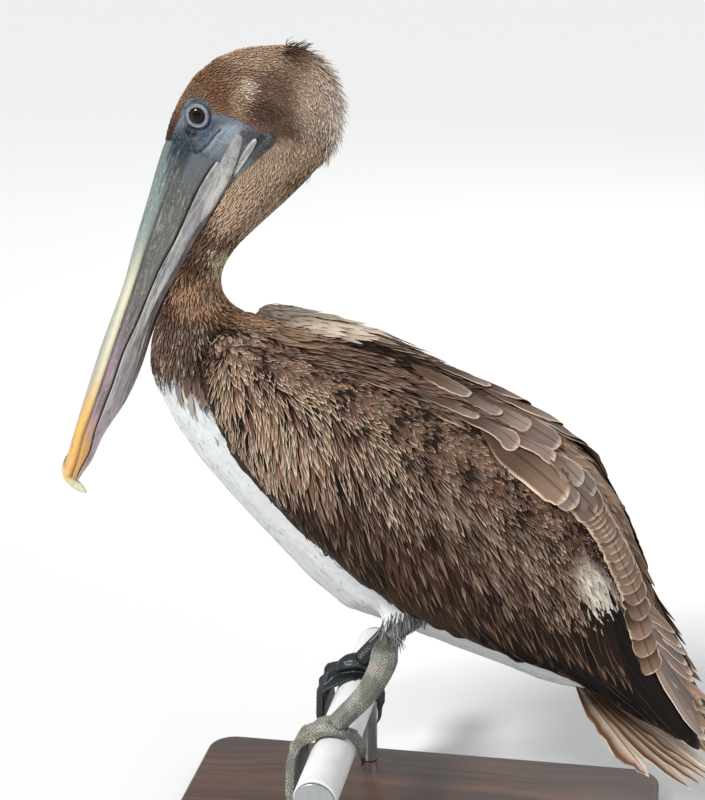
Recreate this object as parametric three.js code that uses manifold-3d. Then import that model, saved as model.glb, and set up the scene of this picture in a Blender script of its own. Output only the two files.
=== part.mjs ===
// A young brown pelican, life size, standing across a short length of round handrail on a plain stand.
// Millimetres, +Z up. The bird faces -X and its left side is -Y. The origin is on the base's underside, below
// the middle of the rail's axis.
import * as THREE from "three";
import { mergeVertices } from "three/addons/utils/BufferGeometryUtils.js";
import Module from "manifold-3d";

const wasm = await Module();
wasm.setup();

// Driving dimensions
const RAIL_RADIUS = 17;
const RAIL_LENGTH = 290;
const RAIL_HEIGHT = 115; // of the rail's axis over the floor
const BASE = { length: 410, width: 270, thick: 18, corner: 24, edge: 3, centreX: 55 };
const ROD = { radius: 7, spread: 112 };
const GAP = 0.5; // left between pieces that touch
const BIRD_AT = [6, 0, RAIL_HEIGHT - 4]; // where the frame of the bird's own numbers stands
const FOOT_Y = { left: -68, right: 54 }; // where the feet stand along the rail

const FEATHER = { color: 0x6b4f3d, roughness: 0.9, metalness: 0 };
const HORN = { color: 0x9a9a90, roughness: 0.55, metalness: 0 };
const LEG = { color: 0x6f6f5c, roughness: 0.75, metalness: 0 };
const PAINT = { color: 0xf2f2f0, roughness: 0.35, metalness: 0 };
const STEEL = { color: 0x9a9c9e, roughness: 0.35, metalness: 1 };
const WOOD = { color: 0x3b2a20, roughness: 0.5, metalness: 0 };

// ---------------------------------------------------------------- shaping

const vec = ([x, y, z]) => new THREE.Vector3(x, y, z);

// A closed form through ribs. A rib is [top point, bottom point, half width], with points as [x, y, z].
// The width is laid square to the rib and to the line through the ribs' middles.
function loft(ribs, { around = 20, along = 20, grow = 0, fullness = 2 } = {}) {
  const middles = [];
  const halves = [];
  const widths = [];
  for (const [top, bottom, half] of ribs) {
    middles.push(vec(top).add(vec(bottom)).multiplyScalar(0.5));
    halves.push(vec(top).sub(vec(bottom)).multiplyScalar(0.5));
    widths.push(new THREE.Vector3(half, 0, 0));
  }
  const middle = new THREE.CatmullRomCurve3(middles, false, "catmullrom", 0.5);
  const up = new THREE.CatmullRomCurve3(halves, false, "catmullrom", 0.5);
  const width = new THREE.CatmullRomCurve3(widths, false, "catmullrom", 0.5);
  const form = new THREE.CylinderGeometry(1, 1, 1, around, along);
  const place = form.getAttribute("position");
  const at = new THREE.Vector3();
  for (let i = 0; i < place.count; i++) {
    at.fromBufferAttribute(place, i);
    const t = THREE.MathUtils.clamp(0.5 - at.y, 0, 1);
    const rise = up.getPoint(t);
    const side = rise.clone().cross(middle.getTangent(t)).normalize();
    const tall = rise.length() + grow;
    const wide = width.getPoint(t).x + grow;
    const reach = Math.hypot(at.x, at.z);
    const power = Math.abs(at.x) ** fullness + Math.abs(at.z) ** fullness;
    const corner = reach < 1e-6 ? 0 : power ** (-1 / fullness);
    const spot = middle.getPoint(t);
    spot.addScaledVector(side, at.x * corner * reach * wide);
    spot.addScaledVector(rise.normalize(), at.z * corner * reach * tall);
    place.setXYZ(i, spot.x, spot.y, spot.z);
  }
  return form;
}

// Ribs that lie in the bird's middle plane: [top x, top z, bottom x, bottom z, half width].
const middlePlane = (rows) => rows.map(([tx, tz, bx, bz, half]) => [[tx, 0, tz], [bx, 0, bz], half]);

// A round or oval limb through points [x, y, z, half depth, half width], its depth kept in the XZ plane.
function limb(points, options) {
  const ribs = points.map(([x, y, z, depth, wide], i) => {
    const before = points[Math.max(i - 1, 0)];
    const after = points[Math.min(i + 1, points.length - 1)];
    const run = new THREE.Vector3(after[0] - before[0], 0, after[2] - before[2]).normalize();
    const offset = new THREE.Vector3(-run.z, 0, run.x).multiplyScalar(depth);
    return [[x + offset.x, y, z + offset.z], [x - offset.x, y, z - offset.z], wide];
  });
  return loft(ribs, options);
}

// ---------------------------------------------------------------- joining and cutting

function solid(form) {
  const bare = form.clone();
  bare.deleteAttribute("normal");
  bare.deleteAttribute("uv");
  const merged = mergeVertices(bare, 1e-3);
  return new wasm.Manifold(
    new wasm.Mesh({
      numProp: 3,
      vertProperties: new Float32Array(merged.getAttribute("position").array),
      triVerts: new Uint32Array(merged.index.array),
    }),
  );
}

// The largest body of a solid, as a geometry, with edges shorter than tidy taken out.
function geometry(made, tidy = 0.09) {
  const bodies = made.simplify(tidy).decompose();
  const largest = bodies.reduce((a, b) => (b.volume() > a.volume() ? b : a));
  const { numProp, numVert, vertProperties, triVerts } = largest.getMesh();
  const places = new Float32Array(numVert * 3);
  for (let i = 0; i < numVert; i++) {
    for (let k = 0; k < 3; k++) places[i * 3 + k] = vertProperties[i * numProp + k];
  }
  const form = new THREE.BufferGeometry();
  form.setAttribute("position", new THREE.BufferAttribute(places, 3));
  form.setIndex(new THREE.BufferAttribute(new Uint32Array(triVerts), 1));
  form.computeVertexNormals();
  return form;
}

function piece(name, form, look) {
  const made = new THREE.Mesh(form, new THREE.MeshStandardMaterial(look));
  made.name = name;
  return made;
}

const subtract = (from, ...others) => others.reduce((left, other) => left.subtract(other), from);

// Splits a solid at a plane through a point and leaves the gap: [the side the normal points to, the other].
function partAt(made, point, normal) {
  const n = vec(normal).normalize();
  const offset = n.dot(vec(point));
  const ahead = made.trimByPlane([n.x, n.y, n.z], offset + GAP / 2);
  const behind = made.trimByPlane([-n.x, -n.y, -n.z], -offset + GAP / 2);
  return [ahead, behind];
}

// ---------------------------------------------------------------- head, neck and trunk

// Each row is a rib: back line x z, front or belly line x z, half width, from inside the head to the tail.
const BODY_RIBS = middlePlane([
  [-18, 500, -92, 488, 25],
  [-25, 470, -98, 463, 24.5],
  [-48, 444, -106, 447, 22.5],
  [-77, 417, -118, 428, 20.5],
  [-97, 397, -131, 405, 19.5],
  [-106, 378, -144, 382, 20],
  [-104, 361, -156, 357, 24],
  [-90, 349, -165, 331, 33],
  [-66, 341, -168, 305, 45],
  [-35, 332, -159, 277, 58],
  [5, 318, -136, 238, 70],
  [52, 299, -99, 195, 77],
  [97, 281, -58, 152, 80],
  [142, 255, -17, 111, 79],
  [180, 224, 32, 95, 73],
  [207, 186, 82, 77, 63],
  [222, 150, 121, 63.5, 50],
  [232, 115, 153, 51, 38],
  [236, 86, 178, 46, 27],
  [234, 66, 196, 46, 17],
]);

const HEAD_RIBS = middlePlane([
  [-150, 486, -149, 476, 5],
  [-146, 499, -143, 466, 12],
  [-137, 519, -133, 461, 17.5],
  [-120, 541, -118, 459, 22],
  [-93, 556, -92, 457, 27],
  [-64, 560, -66, 455, 30],
  [-42, 559, -50, 456, 29.5],
  [-24, 549, -34, 460, 26],
  [-13, 530, -21, 472, 20],
  [-10, 515, -13, 490, 10],
]);

// Where the flesh is parted: under the jaw, halfway down the neck and at the shoulders.
const HEAD_SPLIT = { at: [-97, 0, 451], normal: [-0.26, 0, 0.97] };
const NECK_SPLIT = { at: [-127, 0, 380], normal: [-0.2, 0, 0.98] };
const TRUNK_SPLIT = { at: [-110, 0, 316], normal: [-0.42, 0, 0.9] };

const EYE = { x: -117.5, y: 15.5, z: 507, radius: 9.2 };

const bodyForm = (grow) => solid(loft(BODY_RIBS, { around: 16, along: 26, grow }));
const headForm = (grow) => solid(loft(HEAD_RIBS, { around: 14, along: 13, grow, fullness: 2.15 }));

function eyeForm(side, grow = 0) {
  const ball = new THREE.SphereGeometry(EYE.radius + grow, 12, 7);
  ball.rotateX(Math.PI / 2);
  return ball.translate(EYE.x, side * EYE.y, EYE.z);
}

// ---------------------------------------------------------------- bill

// Both mandibles shut, as ribs across the bill: culmen x z, lower edge x z, half width, from face to tip.
const BILL_RIBS = middlePlane([
  [-112, 518, -64, 492, 12],
  [-131, 503, -77, 478, 15.5],
  [-147, 485, -92.5, 460.5, 18],
  [-164, 436, -122.5, 417.5, 16.5],
  [-176, 400, -141.5, 384.5, 14.8],
  [-185.5, 369, -157.5, 356.5, 13],
  [-197, 340, -168, 327.5, 12.5],
  [-208, 312, -177.5, 298.5, 13],
  [-219, 281, -191, 268, 13.5],
  [-230, 249, -209.5, 239.5, 12.8],
  [-238, 225, -220, 217.5, 9.5],
  [-242, 214, -227, 207.5, 6.5],
]);
// Where the mandibles meet, x z.
const GAPE_LINE = [
  [-60, 530],
  [-92, 488],
  [-116, 456],
  [-138.5, 411],
  [-152.5, 386],
  [-163.5, 363],
  [-173, 341],
  [-185, 316],
  [-195, 289],
  [-204.5, 265.5],
  [-212.5, 246],
  [-218.5, 228],
  [-233, 190],
];
// The hooked nail over the tip: outer x z, inner x z, half width.
const NAIL_RIBS = middlePlane([
  [-239, 225, -234.5, 222.5, 3],
  [-244.5, 214.5, -236.5, 212, 5],
  [-245, 204, -236.8, 205, 5],
  [-240, 195.5, -233.8, 199, 4],
  [-232.5, 190.2, -229.8, 194.6, 2.6],
  [-226, 188.6, -225.6, 190, 0.8],
]);
// The folded pouch: a slim keel of skin under the lower mandible, upper x z, lower x z, half width.
const POUCH_RIBS = middlePlane([
  [-86, 477, -82, 470, 12],
  [-104, 453, -97, 447, 13],
  [-130, 412, -121, 408, 11],
  [-152, 374, -143.5, 371, 9],
  [-171, 338, -163, 334, 7.5],
  [-182, 306, -174.5, 303, 7],
  [-196, 272, -189.5, 270, 5],
]);

// Everything above the gape line (sign 1) or below it (sign -1), as a solid a head wide.
function sideOfGape(sign, clear) {
  const outline = new THREE.Shape();
  const move = sign * clear;
  const shifted = GAPE_LINE.map(([x, z]) => new THREE.Vector2(x - move * 0.91, z + move * 0.41));
  const far = sign > 0 ? -330 : 40;
  const points = [...shifted, new THREE.Vector2(far, 190), new THREE.Vector2(far, 530)];
  outline.setFromPoints(points);
  const form = new THREE.ExtrudeGeometry(outline, { depth: 120, bevelEnabled: false });
  form.rotateX(Math.PI / 2);
  return solid(form.translate(0, 60, 0));
}

const billForm = (grow) => solid(loft(BILL_RIBS, { around: 12, along: 12, fullness: 2.35, grow }));
const nailForm = (grow) => solid(loft(NAIL_RIBS, { around: 8, along: 8, grow }));
const pouchForm = (grow) => solid(loft(POUCH_RIBS, { around: 8, along: 7, grow }));

// ---------------------------------------------------------------- wings and tail

// Left wing, folded. Ribs: top edge point, lower edge point, half thickness, from the wrist to the tips.
const WING_RIBS = [
  [[-92, -57, 341], [-106, -62, 312], 8],
  [[-76, -55, 343], [-100, -71, 290], 21],
  [[-43, -52, 337], [-84, -78, 264], 34],
  [[-2, -46, 328], [-55, -84, 228], 44],
  [[40, -40, 311], [-20, -86, 190], 48],
  [[87, -36, 292], [20, -84, 154], 49],
  [[131, -28, 272], [66, -80, 127], 45],
  [[177, -20, 248], [113, -73, 105], 37],
  [[210, -14, 208], [155, -62, 88], 27],
  [[233, -11, 158], [191, -50, 70], 18],
  [[253, -10, 110], [220, -38, 50], 11.5],
  [[270, -10, 65], [248, -28, 30], 7],
  [[282, -11, 28], [270, -20, 14], 4.2],
  [[287, -12, 14], [282, -16, 7], 2.5],
];

const TAIL = {
  x: 175,
  z: 64,
  dip: 36,
  length: 150,
  halfAngle: 27,
  feathers: 10,
  rootThick: 11,
  tipThick: 2.2,
  arch: 15,
};

// A fan of overlapping feathers: a box bent so that x is across the fan, y along it and z its thickness.
function tailForm() {
  const form = new THREE.BoxGeometry(1, 1, 1, TAIL.feathers * 2, 3, 1);
  const place = form.getAttribute("position");
  const half = THREE.MathUtils.degToRad(TAIL.halfAngle);
  for (let i = 0; i < place.count; i++) {
    const across = place.getX(i) * 2;
    const along = place.getY(i) + 0.5;
    const over = place.getZ(i);
    const scallop = 1 - 0.05 * (1 - Math.abs(Math.cos(across * TAIL.feathers * 0.5 * Math.PI)));
    const round = 1 - 0.3 * across * across;
    const reach = 14 + along * (TAIL.length * round * scallop - 14);
    const angle = across * half;
    const thick = THREE.MathUtils.lerp(TAIL.rootThick, TAIL.tipThick, Math.sqrt(along));
    const drop = TAIL.arch * across * across * along;
    const aside = -8 * across - reach * Math.sin(angle) * 0.92;
    place.setXYZ(i, reach * Math.cos(angle), aside, over * thick - drop);
  }
  form.rotateY(THREE.MathUtils.degToRad(TAIL.dip));
  return form.translate(TAIL.x, 0, TAIL.z);
}

// ---------------------------------------------------------------- legs and feet

// Left leg, points [x, y, z, half depth, half width]: feathered thigh, then bare shank, heel and tarsus.
// The y of the last points is taken from the foot below.
const THIGH = [
  [66, -46, 150, 26, 20],
  [56, -52, 131, 22, 18],
  [43, -57, 115, 15.5, 13.5],
  [37, -60, 104, 11.5, 10.5],
];
const SHANK = [
  [35, -59, 112, 8.6, 7.5],
  [35, -61, 99, 9.8, 8.2],
  [34.5, -62, 89, 11.2, 8.8],
  [31.5, -63, 78, 10.4, 8.2],
  [21.5, -65, 59, 9.2, 7],
  [7, -66.5, 42, 8.6, 6.9],
  [-3, -67, 31, 8.4, 8.6],
];

// Toes, as angles from straight ahead, outwards negative, with length to the claw's root and half thickness.
const TOES = [
  { name: "outer", angle: -25, length: 76, radius: 5.2, claw: 12 },
  { name: "middle", angle: -2, length: 82, radius: 5.4, claw: 13 },
  { name: "inner", angle: 24, length: 66, radius: 4.8, claw: 12 },
  { name: "hind", angle: 156, length: 42, radius: 4.4, claw: 12 },
];
const BALL = { ahead: 2, radius: 7.5 };
const WEB = { under: 0.2, thick: 2.2, dip: [0.2, 0.2, 0.6] }; // dip: its edge's fall between toes, a share

// The line a toe lies along, from the top of the rail: over it, out past it, then over a knuckle and down.
// Each leg of it is an arc: [length, degrees turned].
const LINE_FRONT = [[5, 17], [16, 2], [11, 72], [70, 4]];
const LINE_BACK = [[22, 74], [8, 20], [60, -6]];

// Takes a point of the spread foot, ahead of the rail's top and above the line, to its place over the rail.
function onRail(ahead, y, height) {
  const line = ahead >= 0 ? LINE_FRONT : LINE_BACK;
  let left = Math.abs(ahead);
  let heading = 0;
  let out = 0;
  let rise = RAIL_RADIUS + GAP;
  for (const [length, turned] of line) {
    const run = Math.min(left, length);
    const turn = THREE.MathUtils.degToRad(turned) * (run / length);
    const middle = heading + turn / 2;
    out += run * Math.cos(middle);
    rise -= run * Math.sin(middle);
    heading += turn;
    left -= run;
  }
  out += height * Math.sin(heading);
  rise += height * Math.cos(heading);
  return new THREE.Vector3(ahead >= 0 ? -out : out, y, rise);
}

// Where a toe's line is, a distance from the ball of the foot. Inwards is +1 for a left foot.
function onToe(toe, distance, height) {
  const angle = THREE.MathUtils.degToRad(toe.angle);
  return onRail(BALL.ahead + distance * Math.cos(angle), distance * Math.sin(angle), height);
}

// Lines that run out from the ball: four over each toe's back and one or three over each web.
const FAN_LINES = TOES.flatMap((toe, i) => {
  const over = [-1, -0.5, 0.5, 1].map((share) => ({ toe, share }));
  const webs = i === 3 ? [] : i === 2 ? [0.2, 0.5, 0.8] : [0.5];
  return [...over, ...webs.map((share) => ({ toe, next: TOES[i + 1], share, dip: WEB.dip[i] }))];
});

// The point a share of the way out along one of those lines, on the back of the foot or on its sole.
function fanPoint({ toe, next, share, dip }, out, back) {
  let length = toe.length * (1 - 0.1 * share * share);
  let degrees = toe.angle;
  let height = WEB.thick;
  if (next) {
    const chord = THREE.MathUtils.lerp(toe.length, next.length, share);
    length = chord * (1 - dip * Math.sin(Math.PI * share));
    degrees = THREE.MathUtils.lerp(toe.angle, next.angle, share);
  }
  const distance = THREE.MathUtils.lerp(3, length, out);
  if (!next) {
    const radius = toe.radius * (1 - 0.2 * out) * (out > 0.97 ? 0.75 : 1);
    degrees += share * Math.min(10, THREE.MathUtils.radToDeg(Math.atan(radius / distance)));
    height += (2 * radius - WEB.thick) * Math.sqrt(1 - share * share);
  }
  const angle = THREE.MathUtils.degToRad(degrees);
  const ahead = BALL.ahead + distance * Math.cos(angle);
  return onRail(ahead, distance * Math.sin(angle), back ? height : WEB.under);
}

// Toes and webs in one: a box bent so that x runs round the fan, y out from the ball and z from sole to back.
function fanForm() {
  const columns = FAN_LINES.length - 1;
  const form = new THREE.BoxGeometry(1, 1, 1, columns, 6, 1);
  const place = form.getAttribute("position");
  for (let i = 0; i < place.count; i++) {
    const line = FAN_LINES[Math.round((place.getX(i) + 0.5) * columns)];
    const spot = fanPoint(line, place.getY(i) + 0.5, place.getZ(i) > 0);
    place.setXYZ(i, spot.x, spot.y, spot.z);
  }
  return form;
}

function ballForm() {
  const ribs = [];
  for (const [ahead, share] of [[-9, 0.45], [-4, 0.85], [2, 1], [8, 1], [15, 0.85], [21, 0.5]]) {
    const middle = onRail(BALL.ahead + ahead - 4, 0, BALL.radius * share);
    const top = onRail(BALL.ahead + ahead - 4, 0, BALL.radius * share * 2);
    ribs.push([top.toArray(), middle.clone().multiplyScalar(2).sub(top).toArray(), 11 * share]);
  }
  return loft(ribs, { around: 8, along: 6 });
}

function railForm(grow) {
  return new THREE.CylinderGeometry(RAIL_RADIUS + grow, RAIL_RADIUS + grow, RAIL_LENGTH, 24, 1);
}

const footForm = () => subtract(solid(fanForm()).add(solid(ballForm())), solid(railForm(GAP - 0.05)));

// A claw curves on from its toe's end and down.
function clawForm(toe) {
  const end = onToe(toe, toe.length, toe.radius * 0.8);
  const before = onToe(toe, toe.length - 4, toe.radius * 0.8);
  const run = end.clone().sub(before).normalize();
  const lift = onToe(toe, toe.length, toe.radius * 0.8 + 1).sub(end).normalize();
  const ribs = [0, 0.3, 0.6, 0.85, 1].map((share) => {
    const middle = end.clone().addScaledVector(run, GAP + 0.1 + share * toe.claw);
    middle.addScaledVector(lift, 1.1 * Math.sin(share * Math.PI) - 2.2 * share * share);
    const half = 2.7 * (1 - share) + 0.35;
    const up = lift.clone().multiplyScalar(half);
    return [middle.clone().add(up).toArray(), middle.clone().sub(up).toArray(), half * 0.75];
  });
  return solid(loft(ribs, { around: 6, along: 4 }));
}

// ---------------------------------------------------------------- the bird, put together

function makeBird() {
  const bird = new THREE.Group();
  bird.position.set(...BIRD_AT);
  const add = (name, made, look) => bird.add(piece(name, geometry(made), look));

  const grownHead = headForm(GAP);
  const grownBody = bodyForm(GAP).add(bodyForm(GAP).mirror([0, 1, 0]));
  const eyes = { left: -1, right: 1 };
  const eyeHoles = Object.values(eyes).map((side) => solid(eyeForm(side, GAP)));

  const grownNail = nailForm(GAP);
  const pouch = pouchForm(0);
  const upper = subtract(billForm(0).intersect(sideOfGape(1, GAP / 2)), grownHead, grownNail);
  const lower = subtract(billForm(0).intersect(sideOfGape(-1, GAP / 2)), grownNail, pouchForm(GAP));
  const grownLower = billForm(GAP).intersect(sideOfGape(-1, GAP / 2));

  for (const [name, side] of Object.entries(eyes)) {
    const eye = piece(`eye_${name}`, eyeForm(side), { color: 0x1a1210, roughness: 0.1 });
    bird.add(eye);
  }
  add("bill_upper", upper, HORN);
  add("bill_nail", nailForm(0), { color: 0xd8d2b0, roughness: 0.5 });
  add("bill_lower", lower, HORN);
  add("pouch", subtract(pouch, grownHead), { color: 0x4a4038, roughness: 0.8 });

  const flesh = subtract(headForm(0).add(bodyForm(0)), ...eyeHoles, grownLower, pouchForm(GAP));
  const [head, underHead] = partAt(flesh, HEAD_SPLIT.at, HEAD_SPLIT.normal);
  const [neck, trunk] = partAt(underHead, TRUNK_SPLIT.at, TRUNK_SPLIT.normal);
  const [neckUpper, neckLower] = partAt(neck, NECK_SPLIT.at, NECK_SPLIT.normal);
  add("head", head, FEATHER);
  add("neck_upper", neckUpper, FEATHER);
  add("neck_lower", neckLower, FEATHER);
  const tail = solid(tailForm());
  add("trunk", trunk, FEATHER);
  add("tail", subtract(tail, grownBody), { color: 0x9a8674, roughness: 0.9 });

  const wingWhole = (grow) => solid(loft(WING_RIBS, { around: 14, along: 16, fullness: 2.3, grow }));
  const wing = geometry(subtract(wingWhole(0), grownBody, tail));
  const grownWing = wingWhole(GAP);
  const foot = footForm();
  const claws = TOES.map(clawForm);
  for (const [name, flip] of Object.entries({ left: 1, right: -1 })) {
    const shift = Math.abs(FOOT_Y[name]) - 67;
    const leggy = (points, options) => {
      const last = points.length - 1;
      const moved = points.map(([x, y, ...rest], i) => [x, y - (shift * i) / last, ...rest]);
      return solid(limb(moved, { around: 10, ...options }));
    };
    const half = new THREE.Group();
    half.scale.y = flip;
    const grownShank = leggy(SHANK, { along: 12, grow: GAP + 0.3 });
    const thigh = subtract(leggy(THIGH, { along: 6 }), grownBody, grownShank, grownWing);
    const footAt = [-BIRD_AT[0], -Math.abs(FOOT_Y[name]), RAIL_HEIGHT - BIRD_AT[2]];
    half.add(piece(`wing_${name}`, wing, FEATHER));
    half.add(piece(`thigh_${name}`, geometry(thigh), { color: 0xb8b0a4, roughness: 0.9 }));
    half.add(piece(`leg_${name}`, geometry(subtract(leggy(SHANK, { along: 12 }), grownBody), 0.04), LEG));
    half.add(piece(`foot_${name}`, geometry(subtract(foot.translate(footAt), grownShank), 0.06), LEG));
    TOES.forEach((toe, i) => {
      const claw = geometry(claws[i].translate(footAt));
      half.add(piece(`claw_${name}_${toe.name}`, claw, { color: 0x2a2622, roughness: 0.5 }));
    });
    bird.add(half);
  }
  return bird;
}

// ---------------------------------------------------------------- rail and stand

function makeStand() {
  const stand = new THREE.Group();
  stand.add(piece("perch_rail", railForm(0).translate(0, 0, RAIL_HEIGHT), PAINT));
  for (const [name, side] of [["near", -1], ["far", 1]]) {
    const cap = new THREE.CylinderGeometry(RAIL_RADIUS - 0.8, RAIL_RADIUS - 0.8, 4, 24, 1);
    const made = piece(`perch_cap_${name}`, cap, STEEL);
    made.position.set(0, side * (RAIL_LENGTH / 2 + 2 + GAP), RAIL_HEIGHT);
    stand.add(made);
    const top = RAIL_HEIGHT - RAIL_RADIUS - GAP;
    const rod = new THREE.CylinderGeometry(ROD.radius, ROD.radius, top - BASE.thick - GAP, 16, 1);
    rod.rotateX(Math.PI / 2);
    const post = piece(`stand_rod_${name}`, rod, STEEL);
    post.position.set(0, side * ROD.spread, (top + BASE.thick + GAP) / 2);
    stand.add(post);
  }
  stand.add(piece("stand_base", baseForm(), WOOD));
  return stand;
}

// A flat plate with round corners and a small edge bevel.
function baseForm() {
  const { length, width, thick, corner, edge, centreX } = BASE;
  const x = length / 2 - corner;
  const y = width / 2 - corner;
  const outline = new THREE.Shape();
  outline.absarc(x, y, corner - edge, 0, Math.PI / 2);
  outline.absarc(-x, y, corner - edge, Math.PI / 2, Math.PI);
  outline.absarc(-x, -y, corner - edge, Math.PI, 1.5 * Math.PI);
  outline.absarc(x, -y, corner - edge, 1.5 * Math.PI, 2 * Math.PI);
  const form = new THREE.ExtrudeGeometry(outline, {
    depth: thick - 2 * edge,
    bevelThickness: edge,
    bevelSize: edge,
    bevelSegments: 1,
    curveSegments: 3,
  });
  return form.translate(centreX, 0, edge);
}

const part = new THREE.Group();
part.add(makeBird());
part.add(makeStand());
export default part;
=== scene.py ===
import math

import bmesh
import bpy
import numpy as np
from mathutils import Matrix, Vector, noise
from mathutils.bvhtree import BVHTree
from mathutils.kdtree import KDTree


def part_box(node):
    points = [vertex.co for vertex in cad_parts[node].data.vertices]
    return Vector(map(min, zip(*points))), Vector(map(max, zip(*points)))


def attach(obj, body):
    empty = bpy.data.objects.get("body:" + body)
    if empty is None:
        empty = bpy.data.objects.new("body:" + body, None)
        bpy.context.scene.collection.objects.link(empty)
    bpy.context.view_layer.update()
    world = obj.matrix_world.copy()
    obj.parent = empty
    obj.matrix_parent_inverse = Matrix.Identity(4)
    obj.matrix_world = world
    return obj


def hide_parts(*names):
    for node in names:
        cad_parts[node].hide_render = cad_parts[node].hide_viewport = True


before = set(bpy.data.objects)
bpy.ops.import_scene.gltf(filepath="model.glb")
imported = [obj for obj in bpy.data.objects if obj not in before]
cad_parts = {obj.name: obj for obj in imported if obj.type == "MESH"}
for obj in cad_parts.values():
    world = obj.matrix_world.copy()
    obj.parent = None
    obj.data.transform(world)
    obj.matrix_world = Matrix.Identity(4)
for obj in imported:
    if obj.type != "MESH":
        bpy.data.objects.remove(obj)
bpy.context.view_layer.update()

MM = 0.001

# ------------------------------------------------------------------------------------------------------------
# Display floor, lamps and camera. The floor is one pale sheet under the stand, lit by three soft lamps and a
# pale surround. The lens looks a little down on the bird's left side.
# ------------------------------------------------------------------------------------------------------------


def paint(red, green, blue):
    """A colour as Blender mixes it, from the numbers on a paint card."""
    card = (red, green, blue)
    return np.array([c / 3294.6 if c <= 10 else ((c / 255 + 0.055) / 1.055) ** 2.4 for c in card])


def stand_up(name, form):
    """Puts a finished form into the scene as a new piece."""
    mesh = bpy.data.meshes.new(name)
    form.to_mesh(mesh)
    form.free()
    mesh.shade_smooth()
    piece = bpy.data.objects.new(name, mesh)
    bpy.context.scene.collection.objects.link(piece)
    return piece


def new_material(name, **sockets):
    """A material with its shader's plain sockets set: the material, its node tree and the shader."""
    material = bpy.data.materials.new(name)
    material.use_nodes = True
    shader = material.node_tree.nodes["Principled BSDF"]
    for socket, value in sockets.items():
        shader.inputs[socket.replace("_", " ")].default_value = value
    return material, material.node_tree, shader


floor_form = bmesh.new()
bmesh.ops.create_grid(floor_form, x_segments=1, y_segments=1, size=14)
floor = stand_up("display_floor", floor_form)
floor_paper, _, _ = new_material("floor_paper", Base_Color=(*paint(222, 222, 220), 1), Roughness=0.9)
floor.data.materials.append(floor_paper)

surround = bpy.data.worlds.new("pale_surround")
surround.use_nodes = True
surround.node_tree.nodes["Background"].inputs["Color"].default_value = (0.93, 0.96, 1.0, 1)
surround.node_tree.nodes["Background"].inputs["Strength"].default_value = 0.5
bpy.context.scene.world = surround
bpy.context.scene.view_settings.view_transform = "Standard"

LOOKED_AT = Vector((0.004, 0, 0.392))
LAMPS = [  # name, kind, place, size, power: watts, and for the far lamp watts per square metre
    ("far_lamp", "SUN", (-1.3, -1.5, 2.4), math.radians(14), 3.2),
    ("side_lamp", "AREA", (2.2, -1.9, 1.3), 1.8, 12),
    ("back_lamp", "AREA", (0.7, 2.2, 2.2), 1.6, 22),
]
for name, kind, place, size, power in LAMPS:
    lamp = bpy.data.lights.new(name, kind)
    if kind == "SUN":
        lamp.angle = size
    else:
        lamp.size = size
    lamp.energy = power
    holder = bpy.data.objects.new(name, lamp)
    holder.location = place
    holder.rotation_euler = (LOOKED_AT - Vector(place)).to_track_quat("-Z", "Y").to_euler()
    bpy.context.scene.collection.objects.link(holder)

VIEW_ROUND, VIEW_ABOVE, VIEW_FAR = math.radians(10), math.radians(17), 1.5
back = Vector((math.sin(VIEW_ROUND) * math.cos(VIEW_ABOVE), -math.cos(VIEW_ROUND) * math.cos(VIEW_ABOVE),
               math.sin(VIEW_ABOVE)))
lens = bpy.data.cameras.new("camera")
lens.lens = 85
camera = bpy.data.objects.new("camera", lens)
camera.location = LOOKED_AT + back * VIEW_FAR
camera.rotation_euler = (-back).to_track_quat("-Z", "Y").to_euler()
bpy.context.scene.collection.objects.link(camera)
bpy.context.scene.camera = camera

# ------------------------------------------------------------------------------------------------------------
# Skin: one soft form under all the feathers, from the head down the neck to trunk, thighs and folded wings.
# It is cast whole from the solids, shrunk by the depth of the coat over it, and bare only on the face.
# ------------------------------------------------------------------------------------------------------------
COAT_DEPTH = {  # mm of feathers over each part
    "head": 1.7, "neck_upper": 2.2, "neck_lower": 2.8, "trunk": 3.6, "wing_left": 5.0, "wing_right": 5.0,
    "thigh_left": 4.0, "thigh_right": 4.0,
}
SKIN_GRAIN = 3.0  # mm between points of the skin
CUT_CLOSING = 0.4  # mm that the solids swell by before the casting, to close the thin cuts between them
BARE_DEPTH = 0.6  # mm that the bare face lies inside its solid
FACE_EDGE = [  # edge of the bare face in the side view, x and z in mm, from the forehead round to the chin
    (-140, 590), (-137, 597), (-133, 605), (-129, 613), (-126, 622), (-122, 629.5), (-112, 631.5),
    (-103, 628), (-99.5, 620), (-91, 620.5), (-76.5, 616), (-64, 609.5), (-53, 606.5), (-49, 602.5),
    (-52, 597.5), (-64, 587), (-83, 570), (-92, 559), (-106, 545), (-125, 560), (-145, 576),
]
EYE_AT, EYE_ACROSS, EYE_RADIUS = (-111.5, 618), 15.5, 9.2  # x and z, half the distance between, mm


def depth_inside(x, z, outline):
    """How far points are inside an outline drawn on the side view, negative outside it."""
    start = np.array(outline, float)
    end = np.roll(start, -1, axis=0)
    run = end - start
    gap = np.stack([x, z], -1)[:, None] - start
    share = np.clip((gap * run).sum(-1) / (run**2).sum(-1), 0, 1)
    distance = np.linalg.norm(gap - share[..., None] * run, axis=-1).min(1)
    level = (start[:, 1] > z[:, None]) != (end[:, 1] > z[:, None])
    crossing = level & (gap[..., 0] < run[:, 0] * gap[..., 1] / (run[:, 1] + 1e-12))
    return np.where(crossing.sum(1) % 2 == 1, distance, -distance)


def blend(first, second, share):
    """Colours or numbers a share of the way from first to second."""
    return first * (1 - share) + second * share


def spots_of(mesh):
    """A mesh's points in mm."""
    spots = np.empty(len(mesh.vertices) * 3)
    mesh.vertices.foreach_get("co", spots)
    return spots.reshape(-1, 3) * 1000


def directions_of(mesh):
    """The outward directions at a mesh's points."""
    ways = np.empty(len(mesh.vertices) * 3)
    mesh.vertices.foreach_get("normal", ways)
    return ways.reshape(-1, 3)


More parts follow.
